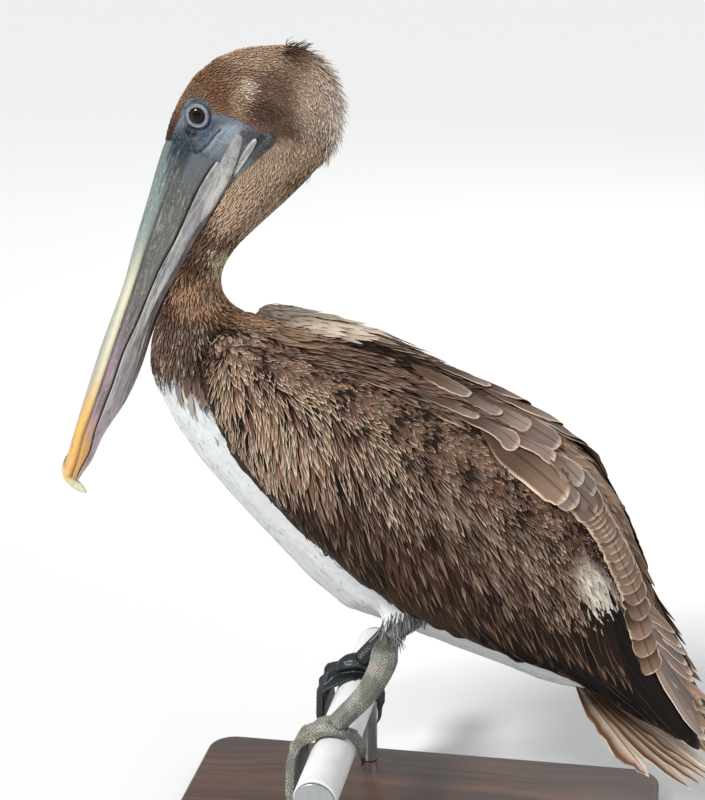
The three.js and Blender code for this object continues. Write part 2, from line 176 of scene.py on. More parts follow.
def move_spots(mesh, spots):
    mesh.vertices.foreach_set("co", (spots * MM).ravel())
    mesh.update()


flesh_spots, flesh_faces, flesh_part = [], [], []
for part in COAT_DEPTH:
    node_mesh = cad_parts[part].data
    first = len(flesh_spots)
    flesh_spots += [vertex.co.copy() for vertex in node_mesh.vertices]
    flesh_faces += [[first + i for i in face.vertices] for face in node_mesh.polygons]
    flesh_part += [part] * len(node_mesh.polygons)
flesh_tree = BVHTree.FromPolygons(flesh_spots, flesh_faces)

skin_form = bmesh.new()
for part in COAT_DEPTH:
    skin_form.from_mesh(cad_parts[part].data)
bmesh.ops.remove_doubles(skin_form, verts=skin_form.verts, dist=1e-5)
skin_form.normal_update()
for vertex in skin_form.verts:
    vertex.co += vertex.normal * CUT_CLOSING * MM
skin = stand_up("skin", skin_form)
casting = skin.modifiers.new("casting", "REMESH")
casting.mode = "VOXEL"
casting.voxel_size = SKIN_GRAIN * MM
cast = bpy.data.meshes.new_from_object(skin.evaluated_get(bpy.context.evaluated_depsgraph_get()))
skin.modifiers.clear()
skin.data = cast

spots, ways = spots_of(cast), directions_of(cast)
outer_tree = BVHTree.FromObject(skin, bpy.context.evaluated_depsgraph_get())
depth = np.empty(len(spots))
for i, (spot, way) in enumerate(zip(spots, ways)):
    place, way = Vector(spot * MM), Vector(way)
    part = flesh_part[flesh_tree.find_nearest(place)[2]]
    through = outer_tree.ray_cast(place - way * 0.3 * MM, -way)[3]
    thickness = 100 if through is None else through / MM
    depth[i] = min(COAT_DEPTH[part] + CUT_CLOSING, 0.4 * thickness)  # thin parts keep a core
bareness = np.clip(depth_inside(spots[:, 0], spots[:, 2], FACE_EDGE) / 4 + 0.5, 0, 1)
depth = blend(depth, BARE_DEPTH, bareness)


def even_out(mesh, values, rounds):
    """Values at a mesh's points, each drawn towards its neighbours'."""
    edges = np.array([edge.vertices[:] for edge in mesh.edges])
    links = np.bincount(edges.ravel(), minlength=len(values))[:, None]
    for _ in range(rounds):
        total = np.zeros_like(values)
        np.add.at(total, edges[:, 0], values[edges[:, 1]])
        np.add.at(total, edges[:, 1], values[edges[:, 0]])
        values = 0.5 * values + 0.5 * total / links
    return values


depth = even_out(cast, depth[:, None], 6)
move_spots(cast, even_out(cast, spots - ways * depth, 4))

# The bare face gets finer points, and then its folds: the socket round each eye, the crease that runs forward
# from behind the eye, and fine wrinkles all over. Each wing's bend stands a little off the neck.
face_form = bmesh.new()
face_form.from_mesh(cast)
for _ in range(2):
    middles = np.array([face.calc_center_median() for face in face_form.faces]) * 1000
    bare = depth_inside(middles[:, 0], middles[:, 2], FACE_EDGE) > -3
    cut = {edge for face, chosen in zip(face_form.faces, bare) if chosen for edge in face.edges}
    bmesh.ops.subdivide_edges(face_form, edges=list(cut), cuts=1, use_grid_fill=True)
bmesh.ops.triangulate(face_form, faces=[face for face in face_form.faces if len(face.verts) > 4])
face_form.to_mesh(cast)
face_form.free()
cast.shade_smooth()

CREASE = [(-93, 608), (-98, 603.5), (-104, 596), (-110, 590.5), (-117, 582), (-127, 569)]  # x, z
JAW_GROOVE = [(-88, 570), (-77, 585), (-66, 598), (-60, 604)]
GAPE_CORNER = [(-66, 588), (-58, 596), (-51, 602)]
WING_BEND = [(-101, 412), (-102, 434), (-97, 447), (-84, 455), (-72, 459), (-57, 456), (-39, 448), (-12, 436),
             (-14, 400), (-92, 394)]


def distance_to_line(x, z, line):
    """Distance of points from a line drawn on the side view, and the share of the way along it."""
    start = np.array(line[:-1], float)
    run = np.array(line[1:], float) - start
    gap = np.stack([x, z], -1)[:, None] - start
    share = np.clip((gap * run).sum(-1) / (run**2).sum(-1), 0, 1)
    distance = np.linalg.norm(gap - share[..., None] * run, axis=-1)
    nearest = distance.argmin(1)
    row = np.arange(len(x))
    return distance[row, nearest], (nearest + share[row, nearest]) / len(run)


def ease(value, low, high):
    """0 below low, 1 above high and smooth between them."""
    share = np.clip((value - low) / (high - low), 0, 1)
    return share * share * (3 - 2 * share)


for _ in range(2):  # melts the steps that the casting left on the face
    spots = spots_of(cast)
    mask = ease(depth_inside(spots[:, 0], spots[:, 2], FACE_EDGE), -3, 1)[:, None]
    move_spots(cast, spots + (even_out(cast, spots, 6) - spots) * mask)

spots, ways = spots_of(cast), directions_of(cast)
x, z = spots[:, 0], spots[:, 2]
mask = ease(depth_inside(x, z, FACE_EDGE), -1, 2)
on_face = np.flatnonzero(mask > 0)
from_eye = np.hypot(x - EYE_AT[0], z - EYE_AT[1])
crease, _ = distance_to_line(x, z, CREASE)
groove, _ = distance_to_line(x, z, JAW_GROOVE)
relief = -1.0 * np.exp(-((crease / 1.0) ** 2)) + 0.5 * np.exp(-(((crease - 2.6) / 1.8) ** 2))
relief -= 1.3 * np.exp(-((groove / 0.9) ** 2))
relief += 0.5 * np.exp(-(((from_eye - 13) / 2.4) ** 2)) - 0.7 * np.exp(-(((from_eye - 10.6) / 1.3) ** 2))
wrinkles = np.zeros(len(spots))
for i in on_face:
    px, py, pz = spots[i]
    along, across = 0.52 * px + 0.85 * pz, 0.85 * px - 0.52 * pz
    wrinkles[i] = (0.34 - abs(noise.noise((along * 0.3, py * 0.3, across * 0.22)))
                   - 0.6 * abs(noise.noise((along * 0.75, py * 0.6, across * 0.6 + 40)))) * 0.75
from_bend = depth_inside(x, z, WING_BEND)
outer_side = (np.abs(spots[:, 1]) > 20) * ease(ways[:, 1] * np.sign(spots[:, 1]), 0.0, 0.3)
outer_side = outer_side * (1 - ease(x, -70, -30))
bend_rise = (2.2 * ease(from_bend, -2, 2.5) - 1.4 * np.exp(-(((from_bend + 3) / 2.2) ** 2))) * outer_side
move_spots(cast, spots + ways * ((relief + wrinkles) * mask * (from_eye > 9.5) + bend_rise)[:, None])
spots = spots_of(cast)
sunk = (np.hypot(spots[:, 0] - EYE_AT[0], spots[:, 2] - EYE_AT[1]) < 9.3) & (np.abs(spots[:, 1]) > 8)
spots[sunk, 1] = np.sign(spots[sunk, 1]) * (np.abs(spots[sunk, 1]) - 4.5)  # room for the eyeball and its lids
move_spots(cast, spots)

skin_part = [flesh_part[flesh_tree.find_nearest(Vector(spot * MM))[2]] for spot in spots]
skin_tree = BVHTree.FromObject(skin, bpy.context.evaluated_depsgraph_get())
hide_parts(*COAT_DEPTH)
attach(skin, "root")

# ------------------------------------------------------------------------------------------------------------
# Markings: the bird is in its first plumage, tan-brown over head and neck, dark brown above and white below.
# Each stroke is laid softly over the last, alike on the skin and on the feathers that grow from it. Painted
# shade darkens the body where a wing covers it, and a painted shadow lies by the near wing's bend.
# ------------------------------------------------------------------------------------------------------------
# The thighs' colour is greyish white darkened with painted shade from the wings over them.
BELLY_WHITE, BACK_BROWN, THIGH_GREY_SHADED = paint(212, 214, 214), paint(78, 55, 42), paint(138, 140, 142)
BELLY_LINE = [(-170, 409), (-125, 413), (-100, 418), (-60, 400), (0, 380), (100, 330), (200, 236), (260, 170)]
STROKES = [  # x, z, half length, half height in mm, tilt in degrees, colour on the paint card, strength
    (-85, 645, 75, 40, 0, (140, 112, 90), 1.0),
    (-112, 644, 26, 15, 35, (128, 94, 70), 0.8),
    (-94, 631, 15, 10, -10, (118, 82, 58), 0.85),
    (-72, 664, 32, 11, 0, (176, 146, 120), 0.85),
    (-78, 632, 8, 14, -12, (170, 144, 118), 0.7),
    (-72, 640, 7, 7, 20, (216, 200, 178), 0.75),
    (-50, 630, 16, 24, 15, (108, 84, 68), 0.8),
    (-60, 622, 14, 10, -10, (84, 64, 52), 0.85),
    (-42, 666, 9, 6, -10, (76, 58, 46), 0.8),
    (-8, 628, 28, 40, 0, (206, 182, 160), 0.75),
    (2, 628, 15, 38, 0, (238, 218, 198), 0.85),
    (-40, 588, 26, 16, 10, (198, 170, 144), 0.85),
    (-72, 556, 40, 26, 45, (190, 162, 136), 0.9),
    (-60, 540, 30, 7, 47, (146, 128, 112), 0.7),
    (-108, 513, 11, 12, 30, (108, 86, 70), 0.75),
    (-94, 496, 14, 20, 0, (208, 186, 160), 0.85),
    (-116, 476, 22, 18, 0, (172, 136, 108), 0.8),
    (-66, 451, 34, 8, -14, (156, 124, 98), 0.7),
    (-130, 438, 26, 20, 0, (112, 92, 78), 0.9),
    (-112, 428, 10, 20, 0, (84, 66, 55), 0.8),
]
WING_COVER = [(-94, 402), (-98, 416), (-98, 434), (-92, 446), (-60, 450), (240, 250), (240, 174), (180, 198),
              (110, 214), (55, 232), (15, 254), (-24, 287), (-54, 327), (-78, 370)]  # x, z round a wing
WING_STROKES = [
    (60, 390, 200, 26, -33, (94, 72, 58), 0.8),
    (-52, 388, 50, 46, -50, (116, 88, 70), 0.8),
    (112, 308, 116, 44, -36, (50, 33, 24), 0.9),
    (4, 322, 60, 24, -42, (44, 29, 21), 0.9),
    (40, 272, 170, 32, -38, (36, 25, 19), 0.95),
    (-82, 446, 20, 12, -10, (126, 102, 86), 0.8),
    (245, 170, 70, 50, -50, (34, 28, 26), 0.95),
]
FAR_BEND = [(-50, 449, 66, 13, -8, (220, 202, 180), 0.85)]  # the far wing's pale leading edge
FACE_STROKES = [  # on the bare skin only
    (-127, 586, 17, 20, 0, (26, 38, 50), 1.0),
    (-104, 606, 9, 12, -30, (52, 66, 82), 0.85),
    (-91, 602, 18, 8, 36, (138, 148, 156), 0.85),
    (-100, 583, 18, 6, 64, (108, 114, 120), 0.8),
    (-112, 574, 8, 6, 50, (92, 94, 90), 0.7),
    # painted shade between the wrinkled skin and the corner of the mouth
    (-62, 600, 17, 8, -26, (58, 58, 60), 0.9),
    (-117.5, 606, 6.5, 5.2, -8, (9, 11, 15), 1.0),
    (-138, 588, 4, 9, 20, (122, 130, 124), 0.5),
]
FACE_LINES = [  # line, half width in mm, colour, strength
    (GAPE_CORNER, 4.0, (58, 56, 56), 0.85),
    # the dark lines along the jaw groove and the crease are painted shade
    (JAW_GROOVE, 2.6, (34, 30, 30), 0.9),
    (CREASE, 0.9, (28, 34, 44), 0.7),
]


def brush(colours, spots, strokes, where=1.0):
    """Lays soft oval strokes over colours at spots."""
    for x, z, long_half, short_half, tilt, colour, strength in strokes:
        turn = math.radians(tilt)
        along = (spots[:, 0] - x) * math.cos(turn) + (spots[:, 2] - z) * math.sin(turn)
        across = (spots[:, 2] - z) * math.cos(turn) - (spots[:, 0] - x) * math.sin(turn)
        reach = np.hypot(along / long_half, across / short_half)
        colours = blend(colours, paint(*colour), (strength * (1 - ease(reach, 0.65, 1.25)) * where)[:, None])
    return colours


def height_of(line, x):
    """How high a line drawn on the side view runs at x."""
    return np.interp(x, *np.array(line).T)


def markings_and_painted_shade(spots, parts):
    """The plumage's colours at spots in mm, each on a named part, with painted shade on the body where a wing
    covers it and a painted shadow on the body by the near wing's bend.
    """
    x, z = spots[:, 0], spots[:, 2]
    body = blend(BELLY_WHITE, BACK_BROWN, ease(z - height_of(BELLY_LINE, x), -8, 7)[:, None])
    # Painted shade: the body is darkened where a wing covers it.
    painted_shade_under_wing = ease(depth_inside(x, z, WING_COVER), 11, 24)[:, None] * (np.abs(spots[:, 1:2]) > 30)
    body = brush(blend(body, BACK_BROWN * 0.6, painted_shade_under_wing), spots, STROKES)
    shadow = 0.9 * np.exp(-(((depth_inside(x, z, WING_BEND) + 3.5) / 4.5) ** 2))  # the bend's, on the neck
    body = body * (1 - (shadow * (spots[:, 1] < -20) * (1 - ease(x, -70, -40)))[:, None])
    wing = brush(np.tile(BACK_BROWN, (len(spots), 1)), spots, WING_STROKES)
    wing = brush(wing, spots, FAR_BEND, where=spots[:, 1] > 0)
    on_wing, on_thigh = (np.array([part.startswith(kind) for part in parts])[:, None]
                         for kind in ("wing", "thigh"))
    return np.where(on_wing, wing, np.where(on_thigh, THIGH_GREY_SHADED, body))


def set_colours(mesh, name, colours):
    layer = mesh.attributes.new(name, "FLOAT_COLOR", "POINT")
    layer.data.foreach_set("color", np.column_stack([colours, np.ones(len(colours))]).ravel())


spots = spots_of(cast)
on_trunk = np.array([part.startswith("trunk") for part in skin_part])
# Outside the trunk the skin is darkened: painted shade where it shows between the brown feathers.
shades = markings_and_painted_shade(spots, skin_part) * np.where(on_trunk, 0.96, 0.66)[:, None]  # painted shade between feathers
face_depth = depth_inside(spots[:, 0], spots[:, 2], FACE_EDGE)
bareness = ease(face_depth, -0.6, 0.6)
face_shades = brush(np.tile(paint(92, 98, 106), (len(spots), 1)), spots, FACE_STROKES)
for line, half, colour, strength in FACE_LINES:
    from_line, _ = distance_to_line(spots[:, 0], spots[:, 2], line)
    amount = strength * (1 - ease(from_line, half * 0.75, half * 1.1))[:, None]
    face_shades = blend(face_shades, paint(*colour), amount)
face_shades = blend(face_shades, paint(34, 32, 34), 0.7 * (1 - ease(face_depth, 0.2, 1.7))[:, None])
set_colours(cast, "shade", blend(shades, face_shades, bareness[:, None]))
cast.attributes.new("bare", "FLOAT", "POINT").data.foreach_set("value", bareness)


def node(tree, kind, settings=None, **inputs):
    """A node with its settings and inputs. i0, i1 stand for numbered inputs, and a socket is linked."""
    made = tree.nodes.new("ShaderNode" + kind)
    for name, value in (settings or {}).items():
        setattr(made, name, value)
    for name, value in inputs.items():
        key = int(name[1:]) if name[0] == "i" and name[1:].isdigit() else name.replace("_", " ")
        if isinstance(value, bpy.types.NodeSocket):
            tree.links.new(value, made.inputs[key])
        else:
            made.inputs[key].default_value = value
    return made


def maths(tree, how, *values):
    return node(tree, "Math", {"operation": how}, **{f"i{n}": v for n, v in enumerate(values)}).outputs[0]


def times(tree, first, second):
    return maths(tree, "MULTIPLY", first, second)


def rest_of(tree, value):
    """What a value leaves of one."""
    return maths(tree, "SUBTRACT", 1.0, value)


def fade(tree, value, low, high):
    """0 at low and 1 at high, smooth between."""
    return node(tree, "MapRange", {"interpolation_type": "SMOOTHSTEP"}, i0=value, i1=low, i2=high).outputs[0]


def mixed(tree, amount, first, second, how="MIX"):
    """A mix of two colours, each a socket, a plain colour or the three numbers of a paint card."""
    first, second = ((*paint(*colour), 1) if isinstance(colour, tuple) and len(colour) == 3 else colour
                     for colour in (first, second))
    made = node(tree, "Mix", {"data_type": "RGBA", "blend_type": how}, i0=amount, i6=first, i7=second)
    return made.outputs[2]


def graded(tree, value, low, high, first, second):
    """A colour that turns from first to second as a value rises from low to high."""
    return mixed(tree, fade(tree, value, low, high), first, second)


def flecked(tree, tone, pattern, low, high, strength, colour):
    """A colour laid over a tone where a pattern rises from low to high."""
    return mixed(tree, times(tree, fade(tree, pattern, low, high), strength), tone, colour)


def layer_of(tree, name, kind="Fac"):
    """A layer of numbers or colours that the piece keeps at its points."""
    return node(tree, "Attribute", {"attribute_name": name}).outputs[kind]


def place_on(tree):
    return node(tree, "TexCoord").outputs["Object"]


def mapped(tree, kind="POINT", place=None, **inputs):
    """Places on the object, or the places given, turned and stretched."""
    place = place_on(tree) if place is None else place
    return node(tree, "Mapping", {"vector_type": kind}, i0=place, **inputs).outputs[0]


def speckle(tree, place, scale, detail, rough=0.5):
    return node(tree, "TexNoise", Vector=place, Scale=scale, Detail=detail, Roughness=rough).outputs[0]


def finished(tree, shader, tone, relief, strength, distance, gloss=None):
    """Gives a shader its tone, its relief as a bump, and its roughness where that changes over the piece."""
    tree.links.new(tone, shader.inputs["Base Color"])
    bump = node(tree, "Bump", Strength=strength, Distance=distance, Height=relief).outputs[0]
    tree.links.new(bump, shader.inputs["Normal"])
    if gloss is not None:
        tree.links.new(gloss, shader.inputs["Roughness"])


skin_paint, tree, shader = new_material("skin_paint", Roughness=0.62, Specular_IOR_Level=0.35)
bare = layer_of(tree, "bare")
turned = mapped(tree, "TEXTURE", Rotation=(0, math.radians(31.5), 0), Scale=(1, 1, 2.6))
fine = speckle(tree, turned, 420, 4, 0.6)
cells = node(tree, "TexVoronoi", {"feature": "DISTANCE_TO_EDGE"}, Vector=turned, Scale=420).outputs[0]
creased = maths(tree, "ABSOLUTE", maths(tree, "SUBTRACT", fine, 0.5))
pale = times(tree, rest_of(tree, fade(tree, creased, 0.0, 0.028)), times(tree, bare, 0.24))
tone = mixed(tree, pale, layer_of(tree, "shade", "Color"), (168, 178, 184))
tone = flecked(tree, tone, fine, 0.56, 0.70, times(tree, bare, 0.3), (34, 40, 48))
blotches = speckle(tree, place_on(tree), 95, 4)
tone = flecked(tree, tone, blotches, 0.54, 0.7, times(tree, bare, 0.35), (48, 52, 60))
pores = times(tree, fade(tree, cells, 0.0, 0.28), 0.6)
finished(tree, shader, tone, times(tree, maths(tree, "ADD", pores, fine), bare), 0.55, 0.0007)
cast.materials.clear()
cast.materials.append(skin_paint)

# ------------------------------------------------------------------------------------------------------------
# Coat: every feather is a thin closed vane with its quill end on the skin. They run over the skin along the
# lie, each over the roots of those behind it, and are joined into one piece for each part of the bird.
# ------------------------------------------------------------------------------------------------------------
BODY_LIE = [  # x, z in mm, and which way the feathers point there, degrees from straight back
    (-135, 606, 66), (-122, 636, 50), (-98, 658, 18), (-62, 671, -4), (-32, 662, -34), (-12, 636, -68),
    (-8, 606, -92), (-24, 580, -112), (-90, 632, 8), (-60, 640, -12), (-40, 620, -38), (-62, 608, -28),
    (-34, 596, -82), (-56, 582, -100), (-75, 566, -126), (-46, 562, -122), (-72, 545, -133), (-95, 520, -126),
    (-110, 503, -112), (-120, 482, -94), (-104, 480, -96), (-125, 462, -84), (-132, 444, -80),
    (-92, 456, -42), (-60, 450, -14), (-140, 420, -80), (-112, 398, -64), (-118, 370, -56), (-90, 330, -50),
    (-50, 285, -40), (0, 245, -32), (60, 215, -24), (110, 190, -20), (160, 172, -24), (200, 162, -30),
    (0, 440, -22), (80, 410, -28), (150, 370, -38), (205, 305, -54), (236, 240, -64), (70, 238, -82),
]
WING_LIE = [
    (-98, 436, -84), (-70, 444, -58), (-20, 436, -46), (40, 412, -44), (100, 380, -44), (160, 340, -48),
    (206, 290, -56), (240, 240, -62), (-84, 385, -88), (-50, 350, -84), (0, 325, -78), (50, 300, -72),
    (100, 280, -67), (150, 255, -63), (200, 225, -58), (240, 180, -52), (285, 130, -50), (-40, 400, -82),
    (10, 385, -74), (60, 355, -68), (110, 325, -62), (160, 295, -60),
]


def lie_at(spots, ways, guides):
    """Which way feathers point at spots: between the guides, and flat on the skin."""
    guides = np.array(guides, float)
    apart = (spots[:, None, 0] - guides[:, 0]) ** 2 + (spots[:, None, 2] - guides[:, 1]) ** 2
    weight = 1 / (apart + 9) ** 1.6
    turn = np.radians(guides[:, 2])
    lies = np.stack([weight @ np.cos(turn), np.zeros(len(spots)), weight @ np.sin(turn)], -1)
    lies -= ways * (lies * ways).sum(-1, keepdims=True)
    return lies / np.linalg.norm(lies, axis=-1, keepdims=True)


def turned_by(lies, ways, degrees):
    """Lies turned on the skin, each by its own angle."""
    turn = np.radians(degrees)[:, None]
    return lies * np.cos(turn) + np.cross(ways, lies) * np.sin(turn)


cast.calc_loop_triangles()
skin_corners = np.array([triangle.vertices[:] for triangle in cast.loop_triangles])
skin_spots = spots_of(cast)
corner_spots = skin_spots[skin_corners]
skin_ways = np.cross(corner_spots[:, 1] - corner_spots[:, 0], corner_spots[:, 2] - corner_spots[:, 0])
skin_areas = np.linalg.norm(skin_ways, axis=-1) / 2
skin_ways /= 2 * skin_areas[:, None] + 1e-9
skin_middles = corner_spots.mean(1)
part_names = list(COAT_DEPTH)
face_parts = np.array([part_names.index(skin_part[corner[0]]) for corner in skin_corners])


def thinned(spots, cell, crowds, order=None):
    """Which spots are kept, taken in order. One is left out where crowds(spot, near) finds the kept ones in
    the cells round it too near."""
    homes = list(map(tuple, np.floor(spots / cell).astype(int)))
    cells, kept = {}, []
    for i in range(len(spots)) if order is None else order:
        x, y, z = homes[i]
        near = [j for dx in (-1, 0, 1) for dy in (-1, 0, 1) for dz in (-1, 0, 1)
                for j in cells.get((x + dx, y + dy, z + dz), ())]
        if not near or not crowds(i, near):
            cells.setdefault(homes[i], []).append(i)
            kept.append(i)
    return kept


def strew(where, guides, gaps, seed):
    """Roots of feathers on the chosen skin: spots, outward ways, lies and parts. gaps are how far apart they
    stand along and across the lie in mm, or work that out as gaps(spots)."""
    def gaps_at(spots):
        return [np.broadcast_to(gap, len(spots)) for gap in (gaps(spots) if callable(gaps) else gaps)]

    draw = np.random.default_rng(seed)
    chosen = np.flatnonzero(where)
    gap_along, gap_across = gaps_at(skin_middles[chosen])
    share = skin_areas[chosen] / (gap_along * gap_across)
    faces = draw.choice(chosen, int(share.sum() * 4.5), p=share / share.sum())  # more than find room
    a, b = draw.random((2, len(faces), 1))
    a, b = np.where(a + b > 1, 1 - a, a), np.where(a + b > 1, 1 - b, b)
    corners = corner_spots[faces]
    spots = corners[:, 0] + a * (corners[:, 1] - corners[:, 0]) + b * (corners[:, 2] - corners[:, 0])
    ways = skin_ways[faces]
    lies = lie_at(spots, ways, guides)
    sides = np.cross(lies, ways)
    gap_along, gap_across = gaps_at(spots)

    def crowds(i, near):
        offset = spots[near] - spots[i]
        apart = (offset @ lies[i] / gap_along[i]) ** 2 + (offset @ sides[i] / gap_across[i]) ** 2
        return apart.min() < 1

    kept = thinned(spots, max(gap_along.max(), gap_across.max()), crowds)
    return spots[kept], ways[kept], lies[kept], [part_names[face_parts[faces[i]]] for i in kept]


def run_over_skin(spots, lies, lengths, stations, most_turn=62):
    """Lines that run over the skin from roots along their lies: points, outward ways and sides at the
    stations. Where the skin turns away too far, a line runs straight on."""
    shape = (len(spots), len(stations), 3)
    points, ways, sides = np.empty(shape), np.empty(shape), np.empty(shape)
    limit = math.cos(math.radians(most_turn))
    steps = np.diff(stations)
    for i, (spot, lie, length) in enumerate(zip(spots, lies, lengths)):
        point, way, _, _ = skin_tree.find_nearest(Vector(spot * MM))
        heading, first, free = Vector(lie), way, False
        for k in range(len(stations)):
            heading = (heading - way * heading.dot(way)).normalized()
            points[i, k], ways[i, k], sides[i, k] = point, way, heading.cross(way)
            if k == len(steps):
                break
            ahead = point + heading * (length * steps[k] * MM)
            if not free:
                found, turned, _, gap = skin_tree.find_nearest(ahead)
                if turned.dot(first) < limit or gap > length * steps[k] * MM:
                    free = True
                else:
                    ahead, way = found, (way + turned * 1.2).normalized()
            point = ahead
    return points * 1000, ways, sides


def vane_template(around, rings):
    """One closed vane: a long bead whose points give their place across, over and along the feather."""
    bead = bmesh.new()
    bmesh.ops.create_uvsphere(bead, u_segments=around, v_segments=rings, radius=1)
    where = np.array([vertex.co[:] for vertex in bead.verts])
    ring = np.rint(np.arccos(np.clip(-where[:, 2], -1, 1)) / math.pi * rings).astype(int)
    flat = np.hypot(where[:, 0], where[:, 1])
    across, over = where[:, 0] / np.maximum(flat, 1e-6), where[:, 1] / np.maximum(flat, 1e-6)
    across, over = np.where(flat < 1e-4, 0, across), np.where(flat < 1e-4, 0, over)
    faces = [[vertex.index for vertex in face.verts] for face in bead.faces]
    bead.free()
    return {"ring": ring, "across": across, "over": over, "faces": faces, "rings": rings}


def rounded(full_at, close_at, bluntness):
    """A vane's outline that widens up to full_at, and closes round from close_at to its tip."""
    along = np.linspace(0, 1, 101)
    closing = np.clip((along - close_at) / (1 - close_at), 0, 1) ** bluntness
    return ease(along, -0.1, full_at) * (1 - closing) ** (1 / bluntness)


HAIR, TUFT, COVERT, QUILL = (vane_template(*size) for size in ((3, 4), (4, 5), (4, 7), (8, 16)))
POINTED = [0, 0.55, 0.95, 1, 0.8, 0.45, 0]
BROAD = rounded(0.5, 0.6, 1.9)


def fix(piece, look, slot, *nodes):
    """Gives a piece its material and its body, and hides the solids that it stands for. slot is not used."""
    piece.data.materials.append(look)
    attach(piece, "root")
    if nodes:
        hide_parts(*nodes)


def vanes(name, template, lines, stations, half, outline, lifts, look, slot, ground, fringe, thick=0.25,
          camber=0.2, roll=0.0, ragged=0.0, unwrap_axis=(1, 0, 0), seed=1):
    """One piece of many feathers along lines. half is each one's half width, outline its share of that from
    root to tip, and lifts its height over the skin at root and tip, all in mm."""
    points, ways, sides = lines
    stations = np.array(stations)
    count, ring = len(points), template["ring"]
    half, low, high = (np.broadcast_to(value, count)[:, None] for value in (half, *lifts))
    draw = np.random.default_rng(seed)
    widths = np.interp(stations, np.linspace(0, 1, len(outline)), outline)[None] * half
    if ragged:
        widths = widths * (1 - draw.random(widths.shape) ** 3 * ragged * (stations > 0.35))
    heights = low + (high - low) * stations[None] ** 0.8
    across, over = template["across"][None, :, None], template["over"][None, :, None]
    width = widths[:, ring, None]
    rise = heights[:, ring, None] + over * thick - across**2 * width * camber + across * width * roll
    placed = points[:, ring] + sides[:, ring] * across * width + ways[:, ring] * rise
    corners = np.concatenate([np.array(face) for face in template["faces"]])
    sizes = np.array([len(face) for face in template["faces"]])
    size = len(ring)
    loops = (corners[None] + np.arange(count)[:, None] * size).ravel()
    starts = np.concatenate([[0], np.cumsum(np.tile(sizes, count))[:-1]])
    mesh = bpy.data.meshes.new(name)
    mesh.vertices.add(count * size)
    mesh.loops.add(len(loops))
    mesh.polygons.add(count * len(sizes))
    mesh.vertices.foreach_set("co", (placed * MM).ravel())
    mesh.loops.foreach_set("vertex_index", loops)
    mesh.polygons.foreach_set("loop_start", starts)
    mesh.update(calc_edges=True)
    mesh.shade_smooth()
    along = stations[ring]
    chance = np.repeat(draw.random(count), size)
    lay = np.stack([np.tile(template["across"], count), np.tile(along, count), chance], -1)
    layer = mesh.attributes.new("lay", "FLOAT_VECTOR", "POINT")
    layer.data.foreach_set("vector", lay.ravel())
    set_colours(mesh, "ground", ground if len(ground) > count else np.repeat(ground, size, axis=0))
    set_colours(mesh, "fringe", np.repeat(fringe, size, axis=0))
    rim = (np.abs(lay[:, 0]) > 0.99) | (lay[:, 1] < 0.001) | (lay[:, 1] > 0.999)
    ends = np.empty(len(mesh.edges) * 2, int)
    mesh.edges.foreach_get("vertices", ends)
    ends = ends.reshape(-1, 2)
    sharp = mesh.attributes.new("sharp_edge", "BOOLEAN", "EDGE")
    sharp.data.foreach_set("value", rim[ends[:, 0]] & rim[ends[:, 1]])
    roots = points[:, 0]
    axis = np.array(unwrap_axis, float) / np.linalg.norm(unwrap_axis)
    square = np.cross(axis, (0, 1, 0))
    centre = roots.mean(0)
    turn = np.arctan2(roots[:, 1] - centre[1], (roots - centre) @ square)
    patches = np.stack([turn, (roots - centre) @ axis], -1)
    patches = 0.01 + 0.98 * (patches - patches.min(0)) / (np.ptp(patches, axis=0) + 1e-9)
    patch = np.stack([template["across"] * 0.0015, (along - 0.5) * 0.003], -1)
    spread = (patches[:, None] + patch[None]).reshape(-1, 2)
    mesh.uv_layers.new(name="OFBake").data.foreach_set("uv", spread[loops].ravel())
    piece = bpy.data.objects.new(name, mesh)
    bpy.context.scene.collection.objects.link(piece)
    fix(piece, look, slot)
    return piece


vane_pattern = tree = bpy.data.node_groups.new("vane_pattern", "ShaderNodeTree")
for name, kind in (("Lay", "Vector"), ("Ground", "Color"), ("Fringe", "Color"), ("Edge", "Float"),
                   ("Tip", "Float"), ("Shaft", "Float"), ("Shade", "Float")):
    tree.interface.new_socket(name, in_out="INPUT", socket_type="NodeSocket" + kind)
for name, kind in (("Colour", "Color"), ("Height", "Float")):
    tree.interface.new_socket(name, in_out="OUTPUT", socket_type="NodeSocket" + kind)
given = tree.nodes.new("NodeGroupInput").outputs
across, along, chance = node(tree, "SeparateXYZ", i0=given["Lay"]).outputs
off_shaft = maths(tree, "ABSOLUTE", across)
at_side = times(tree, fade(tree, off_shaft, rest_of(tree, given["Edge"]), 1.0), fade(tree, along, 0.1, 0.7))
at_tip = fade(tree, along, rest_of(tree, given["Tip"]), 1.0)
barb_place = node(tree, "CombineXYZ", i0=times(tree, across, 2.2), i2=times(tree, chance, 91.0),
                  i1=maths(tree, "MULTIPLY_ADD", chance, 37.0, along)).outputs[0]
barbs = speckle(tree, barb_place, 3.2, 3, 0.6)
frayed = times(tree, maths(tree, "MAXIMUM", at_side, at_tip), fade(tree, barbs, 0.2, 0.62))
tone = mixed(tree, frayed, given["Ground"], given["Fringe"])
# Each feather is darkened towards its root by Shade: painted shade from the feathers over it.
unshaded = rest_of(tree, given["Shade"])
painted_root_shade = maths(tree, "MULTIPLY_ADD", fade(tree, along, 0.0, 0.6), given["Shade"], unshaded)
light = times(tree, maths(tree, "MULTIPLY_ADD", barbs, 0.55, 0.72), painted_root_shade)
tone = mixed(tree, 1.0, tone, node(tree, "CombineColor", i0=light, i1=light, i2=light).outputs[0], "MULTIPLY")
on_shaft = times(tree, rest_of(tree, fade(tree, off_shaft, 0.03, 0.13)), given["Shaft"])
pattern_out = tree.nodes.new("NodeGroupOutput").inputs
tree.links.new(mixed(tree, on_shaft, tone, (40, 30, 24)), pattern_out["Colour"])
tree.links.new(barbs, pattern_out["Height"])


